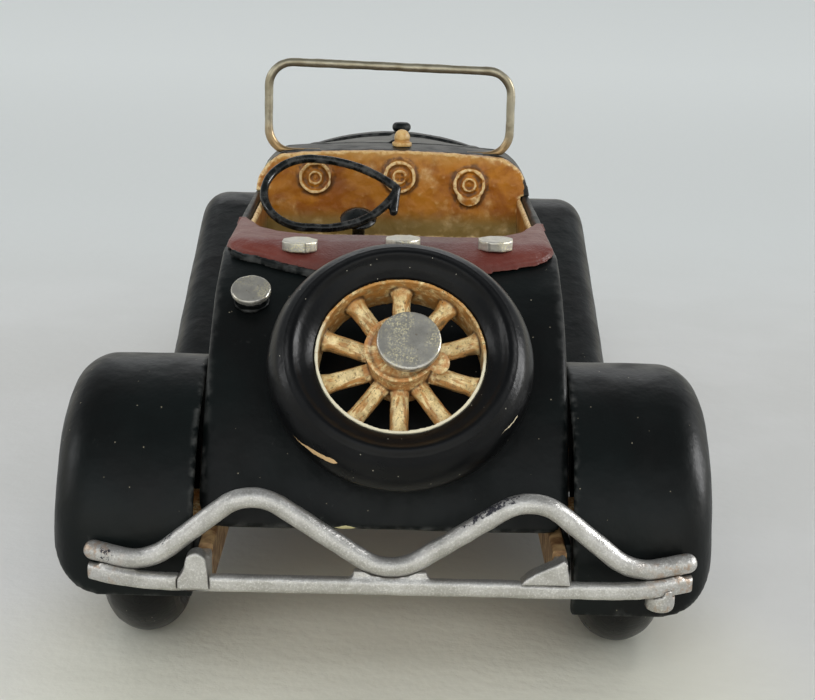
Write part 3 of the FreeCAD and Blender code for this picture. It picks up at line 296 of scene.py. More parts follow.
# ---- material helpers ----------------------------------------------------------------------------
class Finish:
    """One node material, written with lengths in millimetres."""

    def __init__(self, name):
        self.material = bpy.data.materials.new(name)
        self.material.use_nodes = True
        tree = self.material.node_tree
        self.nodes = tree.nodes
        self.links = tree.links
        self.shader = self.nodes["Principled BSDF"]
        place = self.nodes.new("ShaderNodeTexCoord").outputs["Object"]
        self.place = self.vector("SCALE", place, scale=1 / MM)

    def put(self, socket, value):
        if isinstance(value, bpy.types.NodeSocket):
            self.links.new(value, socket)
        else:
            socket.default_value = value

    def vector(self, operation, first, second=None, scale=None):
        node = self.nodes.new("ShaderNodeVectorMath")
        node.operation = operation
        self.put(node.inputs[0], first)
        if second is not None:
            self.put(node.inputs[1], second)
        if scale is not None:
            self.put(node.inputs["Scale"], scale)
        return node.outputs[0]

    def math(self, operation, *values):
        node = self.nodes.new("ShaderNodeMath")
        node.operation = operation
        for socket, value in zip(node.inputs, values):
            self.put(socket, value)
        return node.outputs[0]

    def noise(self, size, detail=3.0, roughness=0.55, stretch=(1, 1, 1), place=None, distortion=0.0):
        """Fractal noise from 0 to 1 with features of this size."""
        node = self.nodes.new("ShaderNodeTexNoise")
        shaped = self.vector("MULTIPLY", place or self.place, stretch)
        self.put(node.inputs["Vector"], shaped)
        node.inputs["Scale"].default_value = 1 / size
        node.inputs["Detail"].default_value = detail
        node.inputs["Roughness"].default_value = roughness
        node.inputs["Distortion"].default_value = distortion
        return node.outputs["Fac"]

    def combine(self, x, y, z):
        node = self.nodes.new("ShaderNodeCombineXYZ")
        for socket, value in zip(node.inputs, (x, y, z)):
            self.put(socket, value)
        return node.outputs[0]

    def axis(self, name):
        """One coordinate of the place, in millimetres."""
        node = self.nodes.new("ShaderNodeSeparateXYZ")
        self.put(node.inputs[0], self.place)
        return node.outputs[name]

    def product(self, *values):
        total = values[0]
        for value in values[1:]:
            total = self.math("MULTIPLY", total, value)
        return total

    def wheel_arc(self, start, end, width):
        """1 along a scratch on a tyre's outer side, between two (angle, height) places."""
        turn, height = self.attribute("wheel_turn"), self.attribute("wheel_height")
        share = self.math("DIVIDE", self.math("SUBTRACT", turn, start[0]), end[0] - start[0])
        line = self.math("MULTIPLY_ADD", share, end[1] - start[1], start[1])
        wander = self.math("MULTIPLY_ADD", self.noise(1.0, detail=4), 0.6, -0.3)
        off = self.math("ABSOLUTE", self.math("ADD", self.math("SUBTRACT", height, line), wander))
        edge = self.math("MULTIPLY", off, 1.0 / width)
        body = self.product(self.step(share, 0.0, 0.6), self.step(share, 1.0, 0.9))
        tread = self.step(self.attribute("wheel_reach"), 15.2, 15.6)
        inside = self.step(self.math("SUBTRACT", edge, body), 0.1, -0.1)
        ends = self.product(self.step(share, 0.0, 0.03), self.step(share, 1.0, 0.97))
        return self.product(inside, tread, ends)

    def cells(self, size, feature="F1"):
        """Distance to the nearest of scattered points, in cell sizes."""
        node = self.nodes.new("ShaderNodeTexVoronoi")
        node.feature = feature
        self.put(node.inputs["Vector"], self.place)
        node.inputs["Scale"].default_value = 1 / size
        return node.outputs["Distance"], node.outputs.get("Color")

    def step(self, value, low, high):
        """0 below low and 1 above high, smooth between them."""
        node = self.nodes.new("ShaderNodeMapRange")
        node.interpolation_type = "SMOOTHSTEP"
        self.put(node.inputs["Value"], value)
        node.inputs["From Min"].default_value = low
        node.inputs["From Max"].default_value = high
        return node.outputs["Result"]

    def attribute(self, name):
        node = self.nodes.new("ShaderNodeAttribute")
        node.attribute_name = name
        return node.outputs["Fac"]

    def blend(self, amount, first, second):
        """A colour that goes from first to second."""
        node = self.nodes.new("ShaderNodeMix")
        node.data_type = "RGBA"
        self.put(node.inputs["Factor"], amount)
        colours = [s for s in node.inputs if s.type == "RGBA"]
        for socket, value in zip(colours, (first, second)):
            self.put(socket, value if isinstance(value, bpy.types.NodeSocket) else (*value, 1.0))
        return next(s for s in node.outputs if s.type == "RGBA")

    def specks(self, spacing, radius, share):
        """1 on small round specks, in this share of the cells."""
        distance, colour = self.cells(spacing)
        chosen = self.nodes.new("ShaderNodeSeparateColor")
        self.put(chosen.inputs[0], colour)
        lit = self.math("LESS_THAN", chosen.outputs[0], share)
        near = self.math("LESS_THAN", distance, radius / spacing)
        return self.math("MULTIPLY", lit, near)

    def bump(self, height, depth, below=None):
        """Adds a relief of this depth to the normal."""
        node = self.nodes.new("ShaderNodeBump")
        node.inputs["Distance"].default_value = depth * MM
        self.put(node.inputs["Height"], height)
        if below is not None:
            self.put(node.inputs["Normal"], below)
        return node.outputs["Normal"]

    def finish(self, colour, roughness, normal=None, metallic=0.0, plain=()):
        """Fills the shader. plain holds (socket, constant) pairs."""
        self.put(self.shader.inputs["Base Color"], colour)
        self.put(self.shader.inputs["Roughness"], roughness)
        if normal is not None:
            self.put(self.shader.inputs["Normal"], normal)
        self.put(self.shader.inputs["Metallic"], metallic)
        for name, value in plain:
            self.shader.inputs[name].default_value = value
        return self.material


def black_enamel(name="black_enamel", gloss=0.0):
    """Thick black paint with a green-blue cast, dusty specks and edges rubbed grey."""
    f = Finish(name)
    tint = f.noise(14.0, detail=4)
    base = f.blend(f.step(tint, 0.35, 0.7), (0.0034, 0.0040, 0.0040), (0.0040, 0.0062, 0.0062))
    edges = f.step(f.attribute("relief"), -0.03, -0.16)
    rubbed = f.math("MULTIPLY", edges, f.step(f.noise(1.6, detail=6), 0.42, 0.68))
    base = f.blend(f.math("MULTIPLY", rubbed, 0.55), base, (0.09, 0.092, 0.088))
    dust = f.math("MULTIPLY", f.specks(1.4, 0.09, 0.45), f.step(f.noise(9.0), 0.36, 0.55))
    base = f.blend(f.math("MULTIPLY", dust, 0.8), base, (0.30, 0.27, 0.20))
    scuffs = f.step(f.noise(0.9, detail=7, roughness=0.7, stretch=(1, 1, 0.6)), 0.60, 0.72)
    scuffs = f.product(scuffs, f.step(f.noise(11.0, detail=3), 0.52, 0.68), 0.5)
    base = f.blend(scuffs, base, (0.075, 0.078, 0.072))
    x, y, z = (f.axis(name) for name in "XYZ")
    ragged = f.math("MULTIPLY_ADD", f.noise(0.7, detail=5), 1.4, -0.7)
    chip_y, chip_z = 4.9, 20.8  # a chip on the tail's lower edge
    across = f.math("ABSOLUTE", f.math("SUBTRACT", y, chip_y))
    upward = f.math("ABSOLUTE", f.math("SUBTRACT", z, chip_z))
    off = f.math("ADD", across, f.math("MULTIPLY", upward, 5.0))
    chip = f.product(f.step(f.math("ADD", off, ragged), 1.7, 1.4), f.step(x, -87.0, -88.0))
    # a ragged cream patch on the left, beside the dashboard
    edge = f.math("MULTIPLY_ADD", f.noise(1.5, detail=6, roughness=0.65), 6.0, -3.0)
    beside = f.step(f.math("ADD", f.math("ABSOLUTE", x), edge), 2.4, 2.0)
    above = f.step(f.math("ADD", z, edge), 50.2, 50.6)
    bare = f.math("MAXIMUM", chip, f.product(f.step(y, 21.3, 21.9), beside, above))
    base = f.blend(bare, base, (0.55, 0.50, 0.27))
    smears = f.step(f.noise(5.0, detail=6, stretch=(1, 1, 0.35)), 0.4, 0.75)
    roughness = f.math("MULTIPLY_ADD", rubbed, 0.2, f.math("MULTIPLY_ADD", smears, 0.16, 0.36 - gloss))
    brushed = f.bump(f.noise(0.9, detail=5, stretch=(1, 1, 0.4)), 0.035 - 0.15 * gloss)
    normal = f.bump(f.noise(5.0, detail=3), 0.18 - 0.7 * gloss, below=brushed)
    return f.finish(base, roughness, normal, plain=[("Specular IOR Level", 0.17 + gloss)])


def black_tyre(name="black_tyre", scratched=False):
    """Satin black, neutral, with fine dust and a smoothly uneven coat; scratched adds two scratches."""
    f = Finish(name)
    tint = f.step(f.noise(8.0, detail=4), 0.4, 0.7)
    base = f.blend(tint, (0.0034, 0.0037, 0.0042), (0.0052, 0.0056, 0.0062))
    creases = f.step(f.attribute("relief"), 0.05, 0.25)
    grime = f.math("MULTIPLY", creases, f.step(f.noise(0.7, detail=5), 0.5, 0.62))
    base = f.blend(f.math("MULTIPLY", grime, 0.35), base, (0.22, 0.2, 0.16))
    base = f.blend(f.math("MULTIPLY", f.specks(1.1, 0.08, 0.4), 0.85), base, (0.35, 0.33, 0.27))
    if scratched:
        lower_left = f.wheel_arc((-141.5, 1.1), (-116.5, 2.4), 0.34)
        lower_right = f.wheel_arc((-40.0, 2.5), (-27.0, 2.1), 0.10)
        base = f.blend(lower_left, base, (0.62, 0.42, 0.22))
        base = f.blend(lower_right, base, (0.78, 0.68, 0.48))
    roughness = f.math("MULTIPLY_ADD", f.noise(3.0, detail=6), 0.2, 0.2)
    normal = f.bump(f.noise(4.0, detail=3), 0.10, below=f.bump(f.noise(0.5, detail=5), 0.015))
    return f.finish(base, roughness, normal, plain=[("Specular IOR Level", 0.16)])


def antique_cream(name="antique_cream", wash=0.5):
    """Cream paint under an ochre wash: brown in its creases, partly the wash and partly painted shade, duller
    low down, black at the right end.
    """
    f = Finish(name)
    relief = f.attribute("relief")
    patches = f.noise(4.5, detail=6, roughness=0.6)
    streaks = f.noise(1.3, detail=6, roughness=0.65, distortion=0.6)
    clouds = f.step(f.noise(4.2, detail=4, distortion=0.4), 0.36, 0.66)
    ochre = f.blend(clouds, (0.47, 0.178, 0.013), (0.29, 0.084, 0.003))
    below_dash = f.step(f.axis("Z"), 48.0, 44.5)
    ochre = f.blend(below_dash, ochre, (0.25, 0.165, 0.045))
    cream = f.blend(f.step(f.noise(0.6, detail=4), 0.4, 0.7), (0.86, 0.64, 0.33), (0.70, 0.45, 0.17))
    rubbed = f.math("MULTIPLY", f.step(relief, -0.03, -0.12), f.step(f.noise(0.9, detail=5), 0.3, 0.55))
    bare = f.math("ADD", rubbed, f.step(patches, 0.72 - wash / 2, 0.32 - wash / 2))
    base = f.blend(bare, ochre, cream)
    high = f.step(f.math("MULTIPLY_ADD", f.noise(2.5, detail=4), 3.0, f.axis("Z")), 56.0, 59.5)
    base = f.blend(f.math("MULTIPLY", high, 0.55), base, (0.56, 0.33, 0.095))
    # brown in the creases and round the gauges: partly the ochre wash settled there, partly painted shade
    crease_wash_and_shade = f.product(f.step(relief, 0.035, 0.17), f.step(streaks, 0.34, 0.55), 0.9)
    base = f.blend(crease_wash_and_shade, base, (0.11, 0.045, 0.012))
    base = f.blend(f.math("MULTIPLY", f.specks(0.8, 0.07, 0.3), 0.8), base, (0.03, 0.02, 0.012))
    ragged = f.math("MULTIPLY_ADD", f.noise(1.6, detail=5), 2.4, f.axis("Y"))
    corner = f.math("MULTIPLY", f.step(ragged, -21.8, -22.1), f.step(f.axis("Z"), 48.6, 49.4))
    base = f.blend(corner, base, (0.008, 0.008, 0.008))
    roughness = f.math("ADD", f.math("MULTIPLY", streaks, 0.25), 0.33)
    normal = f.bump(f.noise(2.2, detail=4), 0.12, below=f.bump(f.noise(0.35, detail=4), 0.03))
    return f.finish(base, roughness, normal)


def spoke_cream():
    """The wheels' cream: spokes streaked lengthwise with orange-brown, painted shade on their lower sides and
    in the creases, an ivory line on the rim.
    """
    f = Finish("spoke_cream")
    relief = f.attribute("relief")
    turn, reach, height = (f.attribute("wheel_" + part) for part in ("turn", "reach", "height"))
    lengthwise = f.combine(f.math("MULTIPLY", reach, 0.22), f.math("MULTIPLY", turn, 0.13), height)
    streaks = f.noise(0.75, detail=6, roughness=0.6, place=lengthwise, distortion=0.3)
    clouds = f.step(f.noise(1.6, detail=6, roughness=0.65), 0.40, 0.62)
    pale = f.blend(clouds, (0.95, 0.78, 0.42), (0.66, 0.49, 0.22))
    outside_hub, inside_rim = f.step(reach, 4.9, 5.2), f.step(reach, 10.2, 9.6)
    spoke = f.product(outside_hub, inside_rim)
    flank = f.math("MULTIPLY_ADD", f.math("SUBTRACT", streaks, 0.5), 5.5, height)
    base = f.blend(f.product(f.step(flank, 1.05, 0.55), spoke, 0.85), pale, (0.50, 0.22, 0.05))
    # painted shade: dark grey-olive low on the spokes' sides
    base = f.blend(f.product(f.step(flank, 0.35, -0.35), spoke, 0.8), base, (0.16, 0.115, 0.05))
    off = f.math("SUBTRACT", 1.0, spoke)
    base = f.blend(f.product(f.step(streaks, 0.44, 0.60), off, 0.8), base, (0.50, 0.22, 0.05))
    fine = f.noise(0.42, detail=5, roughness=0.7)
    dirt = f.step(f.noise(2.0, detail=5, roughness=0.65), 0.46, 0.62)
    base = f.blend(f.math("MULTIPLY", dirt, 0.35), base, (0.22, 0.14, 0.06))
    base = f.blend(f.math("MULTIPLY", f.step(fine, 0.53, 0.66), 0.75), base, (0.11, 0.065, 0.028))
    top = f.product(f.step(reach, 9.0, 9.8), f.step(turn, 10.0, 40.0), f.step(turn, 175.0, 150.0))
    top = f.math("MULTIPLY", top, f.step(f.noise(1.1, detail=5), 0.35, 0.6))
    base = f.blend(top, base, (0.50, 0.24, 0.06))
    hub = f.math("MAXIMUM", f.step(reach, 5.1, 4.7), f.step(height, 3.0, 3.5))
    hub = f.math("MULTIPLY", hub, f.step(f.noise(0.8, detail=5), 0.35, 0.6))
    base = f.blend(f.math("MULTIPLY", hub, 0.75), base, (0.50, 0.21, 0.06))
    # painted shade: dark brown in the wheel's creases
    base = f.blend(f.step(relief, 0.05, 0.22), base, (0.060, 0.026, 0.010))
    specks = f.math("MULTIPLY", f.specks(0.55, 0.075, 0.5), f.step(f.noise(1.4), 0.42, 0.58))
    base = f.blend(specks, base, (0.045, 0.035, 0.022))
    low = f.math("MAXIMUM", f.step(turn, 8.0, -10.0), f.step(turn, 150.0, 170.0))
    ivory = f.product(f.step(reach, 10.38, 10.5), f.step(height, 2.2, 2.6), low)
    base = f.blend(ivory, base, (0.80, 0.74, 0.55))
    roughness = f.math("ADD", f.math("MULTIPLY", streaks, 0.2), 0.38)
    grain = f.bump(f.noise(0.3, detail=4), 0.03)
    normal = f.bump(f.noise(0.7, detail=4, place=lengthwise), 0.05, below=grain)
    return f.finish(base, roughness, normal)


def frame_brown():
    """The same paint under a heavy brown wash."""
    f = Finish("frame_brown")
    streaks = f.noise(2.0, detail=6, distortion=0.5)
    base = f.blend(f.step(streaks, 0.35, 0.68), (0.40, 0.26, 0.12), (0.12, 0.05, 0.018))
    base = f.blend(f.specks(1.1, 0.1, 0.3), base, (0.03, 0.02, 0.012))
    normal = f.bump(f.noise(1.2, detail=4), 0.08)
    return f.finish(base, f.math("ADD", f.math("MULTIPLY", streaks, 0.3), 0.35), normal)


def maroon_leather():
    """Red-brown hide: rubbed lighter on its ridges, with painted shade nearly black in its folds."""
    f = Finish("maroon_leather")
    relief = f.attribute("relief")
    patches = f.noise(5.0, detail=5)
    base = f.blend(f.step(patches, 0.35, 0.7), (0.135, 0.028, 0.020), (0.165, 0.046, 0.035))
    base = f.blend(f.math("MULTIPLY", f.step(relief, 0.0, -0.10), 0.3), base, (0.26, 0.13, 0.11))
    across = f.step(f.math("ABSOLUTE", f.axis("Y")), 15.0, 6.0)
    pad_only = f.product(f.step(f.axis("Z"), 46.0, 48.0), f.step(f.axis("X"), -50.0, -54.0))
    middle = f.product(across, pad_only, 0.5)
    base = f.blend(middle, base, (0.075, 0.045, 0.042))
    # painted shade: nearly black in the folds
    base = f.blend(f.step(relief, 0.015, 0.10), base, (0.030, 0.008, 0.008))
    distance, _ = f.cells(0.55, "DISTANCE_TO_EDGE")
    grain = f.bump(f.step(distance, 0.0, 0.25), 0.02)
    normal = f.bump(f.noise(1.6, detail=4), 0.06, below=grain)
    roughness = f.math("ADD", f.math("MULTIPLY", f.noise(1.2, detail=5), 0.25), 0.26)
    return f.finish(base, roughness, normal, plain=[("Specular IOR Level", 0.22)])


def silver_paint():
    """Warm silver paint over a sandy casting: brown in its seams, worn to black where wear says."""
    f = Finish("silver_paint")
    relief = f.attribute("relief")
    sand = f.noise(0.24, detail=4, roughness=0.6)
    base = f.blend(f.step(f.noise(3.0, detail=4), 0.35, 0.7), (0.55, 0.54, 0.52), (0.43, 0.42, 0.395))
    base = f.blend(f.math("MULTIPLY", f.step(sand, 0.5, 0.66), 0.45), base, (0.86, 0.85, 0.82))
    base = f.blend(f.math("MULTIPLY", f.step(sand, 0.44, 0.34), 0.45), base, (0.40, 0.38, 0.34))
    ends = f.step(f.math("ABSOLUTE", f.axis("Y")), 30.0, 37.0)
    rust = f.product(ends, f.step(f.noise(1.4, detail=6, roughness=0.65), 0.50, 0.60), 0.55)
    base = f.blend(rust, base, (0.42, 0.25, 0.13))
    seam = f.math("MULTIPLY", f.step(relief, 0.07, 0.22), f.step(f.noise(0.8, detail=4), 0.35, 0.6))
    base = f.blend(f.math("MULTIPLY", seam, 0.85), base, (0.26, 0.11, 0.04))
    chips = f.noise(0.55, detail=7, roughness=0.72, distortion=0.4)
    worn = f.step(f.math("ADD", chips, f.math("MULTIPLY", f.attribute("wear"), 0.42)), 0.86, 0.90)
    base = f.blend(worn, base, (0.018, 0.018, 0.026))
    metallic = f.math("MULTIPLY", f.math("SUBTRACT", 1.0, worn), 0.8)
    normal = f.bump(sand, 0.07, below=f.bump(f.noise(1.8, detail=3), 0.1))
    roughness = f.math("ADD", f.math("MULTIPLY", f.noise(1.0), 0.14), 0.27)
    return f.finish(base, roughness, normal, metallic=metallic)


def bare_steel(name="bare_steel", tint=(0.56, 0.54, 0.485), grain=0.2, seams=0.5):
    """Old plated metal with a satin skin and fine straw-coloured specks."""
    f = Finish(name)
    base = f.blend(f.step(f.noise(1.6, detail=4), 0.3, 0.7), tint, tuple(c * 0.82 for c in tint))
    fine = f.noise(0.22, detail=4, roughness=0.65)
    patches = f.step(f.noise(3.0, detail=3), 0.36, 0.6)
    straw = f.product(f.step(fine, 0.50, 0.58), patches, 0.6)
    base = f.blend(straw, base, (0.78, 0.70, 0.38))
    pits = f.math("MULTIPLY", f.step(f.noise(0.5, detail=5), 0.64, 0.70), 0.5)
    base = f.blend(pits, base, (0.22, 0.15, 0.07))
    creases = f.math("MULTIPLY", f.step(f.attribute("relief"), 0.08, 0.22), seams)
    base = f.blend(creases, base, (0.20, 0.12, 0.05))
    normal = f.bump(f.noise(1.3, detail=3), 0.04, below=f.bump(fine, 0.025))
    roughness = f.math("MULTIPLY_ADD", straw, 0.25, grain + 0.1)
    return f.finish(base, roughness, normal, metallic=f.math("SUBTRACT", 0.8, f.math("MULTIPLY", straw, 0.6)))


def screen_steel():
    """The windscreen's rod: silver-beige, browner towards its foot."""
    f = Finish("screen_steel")
    low = f.step(f.math("MULTIPLY_ADD", f.noise(4.0, detail=4), 6.0, f.axis("Z")), 66.0, 60.0)
    base = f.blend(f.step(f.noise(3.0, detail=4), 0.35, 0.7), (0.42, 0.385, 0.29), (0.30, 0.265, 0.185))
    base = f.blend(f.math("MULTIPLY", low, 0.75), base, (0.40, 0.24, 0.09))
    normal = f.bump(f.noise(1.5, detail=3), 0.06)
    return f.finish(base, f.math("MULTIPLY_ADD", f.noise(1.2), 0.15, 0.3), normal, metallic=0.85)


def brass():
    f = Finish("brass")
    age = f.noise(2.0, detail=5)
    base = f.blend(f.step(age, 0.4, 0.7), (0.72, 0.50, 0.20), (0.38, 0.23, 0.08))
    normal = f.bump(f.noise(0.4, detail=3), 0.02)
    return f.finish(base, f.math("ADD", f.math("MULTIPLY", age, 0.25), 0.2), normal, metallic=1.0)


def lamp_glass():
    f = Finish("lamp_glass")
    normal = f.bump(f.noise(1.5, detail=2), 0.08)
    ripple = f.math("ADD", f.math("MULTIPLY", f.noise(2.0), 0.08), 0.04)
    base = f.blend(f.noise(3.0), (0.86, 0.90, 0.88), (0.93, 0.95, 0.93))
    return f.finish(base, ripple, normal, plain=[("Transmission Weight", 0.85), ("IOR", 1.45)])


def set_material(obj, material):
    obj.data.materials.clear()
    obj.data.materials.append(material)
    obj.data.polygons.foreach_set("material_index", np.zeros(len(obj.data.polygons), np.int32))


FINISHES = {
    "black_enamel": black_enamel(),
    "black_tyre": black_tyre(),
    "antique_cream": antique_cream(),
    "frame_brown": frame_brown(),
    "maroon_leather": maroon_leather(),
    "silver_paint": silver_paint(),
    "bare_steel": bare_steel(),
    "brass": brass(),
    "lamp_glass": lamp_glass(),
}

# The CAD nodes that keep their own mesh get the finish of their slot.
for node in nodes.values():
    slot_name = node.material_slots[0].material.name
    for slot in node.material_slots:
        slot.material = FINISHES[slot_name]


def dress(obj, slot_name):
    set_material(obj, FINISHES[slot_name])
    return obj


# ---- pieces --------------------------------------------------------------------------------------
def spread(name, node_names, slot_name, voxel, **how):
    return dress(cast(name, node_names, voxel, **how), slot_name)


DECK_CENTRE = (-46.92, 8.5)  # (x, z) of the tail's arc
DECK_R = 43.73
DECK_ARC_X = -58.0  # behind this the deck follows the arc
DECK_Z, DECK_SLOPE = 50.8, 0.0059  # ahead of it: its height there and its slight fall forwards
PAD_HALF_WIDTH = 23.7
PAD_FOLD = 0.46  # the pitch of the folds in the pad's turned-down edge
AXLE_X = {"rear": -72.0, "front": 66.0}
AXLE_Z = 17.25
TRACK_Y = 32.2
SPARE_PLACE = placing((-83.9, -1.7, 41.45), (-math.cos(math.radians(41)), 0, math.sin(math.radians(41))))

# Half of a tyre's section as (radius, height), from its bead to its tread.
TYRE_SIDE = [
    (11.0, 3.0), (11.9, 3.7), (12.9, 4.3), (13.8, 5.0),
    (14.7, 4.62), (15.1, 4.35), (16.0, 3.5), (16.9, 1.85),
]


def tyre_outline():
    mirrored = [(r, -z) for r, z in reversed(TYRE_SIDE)]
    return [tuple(p) for p in smooth_line(TYRE_SIDE + [(17.25, 0.0)] + mirrored, 5)]


def add_tyre(name, node, place, material, turns, seed):
    """A moulded tyre: a smooth ring, very slightly uneven, never larger than its solid."""
    obj = lathe(name, tyre_outline(), place, turns)
    mesh = obj.data
    points = points_of(mesh)
    hollow = (lumps(points, 9.0, seed) - 1) * 0.05 + (lumps(points, 2.5, seed + 1) - 1) * 0.012
    put_points(mesh, points + normals_of(mesh) * hollow[:, None])
    cavity_attribute(mesh, 30)
    wheel_attributes(mesh, place)
    set_material(obj, material)
    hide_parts(node)
    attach(obj, nodes[node]["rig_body"])


def hub_lump():
    """A blob of spilt metal on the right of the spare's hub."""
    turn, centre = SPARE_PLACE
    half_sizes, middle = (1.4, 1.65, 0.6), (4.9, -1.7, 4.25)
    bm = bmesh.new()
    bmesh.ops.create_icosphere(bm, subdivisions=3, radius=1.0)
    for vertex in bm.verts:
        local = np.array(vertex.co) * half_sizes + middle
        vertex.co = Vector((turn @ local + centre) * MM)
    return bm


def cast_wheel(name, node, place, voxel, extras=(), seed=1):
    obj = cast(name, [node], voxel, soften=2, lump=0.06, lump_size=1.6, extras=extras, seed=seed)
    wheel_attributes(obj.data, place)
    set_material(obj, SPOKES)


# Where the upper bumper bars are worn through, as (y, half-width, strength): two humps and both tips.
TOP_WEAR = [(-13.5, 5.5, 1.0), (26.5, 2.2, 0.8), (-35.0, 2.0, 0.45)]
OUTER_WEAR = [(34.5, 1.8, 0.85)]


def bumper_wear(obj):
    """Marks where the silver is worn through, on top of a bar and on the face away from the car."""
    points, normals = points_of(obj.data), normals_of(obj.data)
    top = smoothstep(normals[:, 2], 0.1, 0.6)
    outer = smoothstep(-normals[:, 0] * np.sign(-points[:, 0]), 0.1, 0.7)
    wear = np.zeros(len(points))
    for spots, face in ((TOP_WEAR, top), (OUTER_WEAR, outer)):
        for middle, width, strength in spots:
            wear += strength * np.exp(-(((points[:, 1] - middle) / width) ** 2)) * face
    set_attribute(obj.data, "wear", wear)


def on_deck(points):
    """How high each point stands over the curved deck behind the seats."""
    x, z = points[:, 0], points[:, 2]
    arc = np.hypot(x - DECK_CENTRE[0], z - DECK_CENTRE[1]) - DECK_R
    flat = z - (DECK_Z - (x - DECK_ARC_X) * DECK_SLOPE)
    return np.where(x < DECK_ARC_X, arc, flat)


def pad_rest(points):
    """The pad's underside stays on the deck."""
    return 0.15 + 0.85 * smoothstep(on_deck(points), 0.15, 1.1)


def pad_creases(points):
    """Fine folds along the pad's edge where it turns down at each side."""
    height = on_deck(points)
    across = np.abs(points[:, 1]) / PAD_HALF_WIDTH
    edge = smoothstep(across, 0.55, 0.85) * smoothstep(-points[:, 0], 57.0, 60.0)
    fold = np.sin(height * 2 * math.pi / PAD_FOLD + points[:, 1] * 0.15)
    return edge * fold * 0.05 * smoothstep(height, 1.45, 1.1)


def add_deck_pad():
    obj = stuffed("deck_pad_soft", "deck_pad", 0.42, 0.12, 0.42, rest=pad_rest, seed=5)
    points = points_of(obj.data)
    put_points(obj.data, points + normals_of(obj.data) * pad_creases(points)[:, None])
    cavity_attribute(obj.data, 16)
    dress(obj, "maroon_leather")


def pleats(points, pitch, depth):
    """Sewn channels across a seat, in the direction of the car."""
    phase = np.abs(((points[:, 1] / pitch + 0.5) % 1.0) - 0.5) * 2
    return -depth * smoothstep(phase, 0.72, 1.0) ** 2


def add_seat(name, node, voxel, pitch, facing):
    obj = stuffed(name, node, voxel, 0.35, 0.85, seed=9)
    points, normals = points_of(obj.data), normals_of(obj.data)
    shown = smoothstep(normals @ np.array(facing), 0.2, 0.6)
    put_points(obj.data, points + normals * (pleats(points, pitch, 0.7) * shown)[:, None])
    cavity_attribute(obj.data, 14)
    dress(obj, "maroon_leather")


SPOKES = spoke_cream()
SCREEN = screen_steel()
GLOSS = black_enamel("black_gloss", 0.18)
SPARE_RUBBER = black_tyre("spare_tyre_black", scratched=True)

spread("body_cast", ["body_shell"], "black_enamel", 0.45, soften=3, lump=0.10, lump_size=9, keep=0.5)
for side in ("left", "right"):
    seed = 3 if side == "left" else 7
    spread(
        f"rear_fender_cast_{side}", [f"rear_fender_{side}"], "black_enamel",
        0.45, lump=0.08, lump_size=7, keep=0.6, seed=seed)
    spread(
        f"front_fender_cast_{side}", [f"front_fender_{side}"], "black_enamel",
        0.5, lump=0.08, lump_size=7, keep=0.5, seed=seed)
    spread(
        f"running_board_cast_{side}", [f"running_board_{side}"], "black_enamel",
        0.4, soften=2, lump=0.03, keep=0.5, seed=seed)
spread("dashboard_cast", ["dashboard"], "antique_cream", 0.2, soften=3, lump=0.13, lump_size=1.9, keep=0.6)
spread("liner_cast", ["cockpit_liner"], "antique_cream", 0.35, soften=1, lump=0.05, keep=0.5)
spread("boss_cast", ["cowl_boss"], "antique_cream", 0.15, soften=3, lump=0.08, lump_size=1.2)
spread("bonnet_cast", ["bonnet"], "black_enamel", 0.4, soften=2, lump=0.05, lump_size=8, keep=0.5)
for end in ("rear", "front"):
    for bar in ("upper", "lower"):
        name = f"{end}_bumper_{bar}"
        bumper = spread(f"{name}_cast", [f"{name}_bar"], "silver_paint", 0.25, lump=0.06, lump_size=2.2)
        if bar == "upper":
            bumper_wear(bumper)
spread("brackets_cast", ["bumper_brackets"], "silver_paint", 0.22, soften=6, lump=0.05, lump_size=1.5)
spread("radiator_cast", ["radiator_shell"], "black_enamel", 0.35, soften=2, lump=0.05, lump_size=5, keep=0.6)
spread("radiator_cap_cast", ["radiator_cap"], "black_enamel", 0.16, soften=3, lump=0.05)
spread("lamps_cast", ["headlamp_shells"], "silver_paint", 0.25, soften=2, lump=0.05, lump_size=2)
spread("lamp_bar_cast", ["headlamp_bar"], "black_enamel", 0.25, soften=2, lump=0.05, lump_size=2)
spread("bead_cast", ["deck_pad_bead"], "black_enamel", 0.16, soften=5, lump=0.08, lump_size=2.5)
spread("studs_cast", ["deck_pad_studs"], "bare_steel", 0.14, soften=4, lump=0.08, lump_size=2.4)
spread("filler_neck_cast", ["filler_neck"], "black_enamel", 0.16, soften=4, lump=0.12, lump_size=1.5)
spread("filler_cap_cast", ["filler_cap"], "bare_steel", 0.14, soften=3, lump=0.06, lump_size=1.8)
screen = spread("screen_cast", ["windscreen_frame"], "bare_steel", 0.2, soften=3, lump=0.07, lump_size=3.0)
set_material(screen, SCREEN)
loop = spread(
    "steering_wheel_cast", ["steering_wheel"], "black_enamel", 0.16, soften=5, lump=0.05, lump_size=3.0)
set_material(loop, GLOSS)
column = spread(
    "steering_column_cast", ["steering_column"], "black_enamel", 0.2, soften=2, lump=0.05, lump_size=2.0)
set_material(column, GLOSS)

cast_wheel("spare_wheel_cast", "spare_wheel", SPARE_PLACE, 0.16, extras=[hub_lump()])
spread("spare_nail_cast", ["spare_nail"], "bare_steel", 0.15, soften=2, lump=0.05, lump_size=2.0)
add_tyre("spare_tyre_ring", "spare_tyre", SPARE_PLACE, SPARE_RUBBER, 240, 4)
for number, axle in enumerate(("rear", "front")):
    spread(f"{axle}_nails_cast", [f"{axle}_hub_caps"], "bare_steel", 0.2, soften=2, lump=0.05, lump_size=2.0)
    for sign, side in ((1, "left"), (-1, "right")):
        place = placing((AXLE_X[axle], sign * TRACK_Y, AXLE_Z), (0, sign, 0))
        wheel_seed, tyre_seed = 5 + 2 * number + sign, 20 + 3 * number + sign
        cast_wheel(f"{axle}_wheel_cast_{side}", f"{axle}_wheel_{side}", place, 0.25, seed=wheel_seed)
        rubber = FINISHES["black_tyre"]
        add_tyre(f"{axle}_tyre_ring_{side}", f"{axle}_tyre_{side}", place, rubber, 160, tyre_seed)

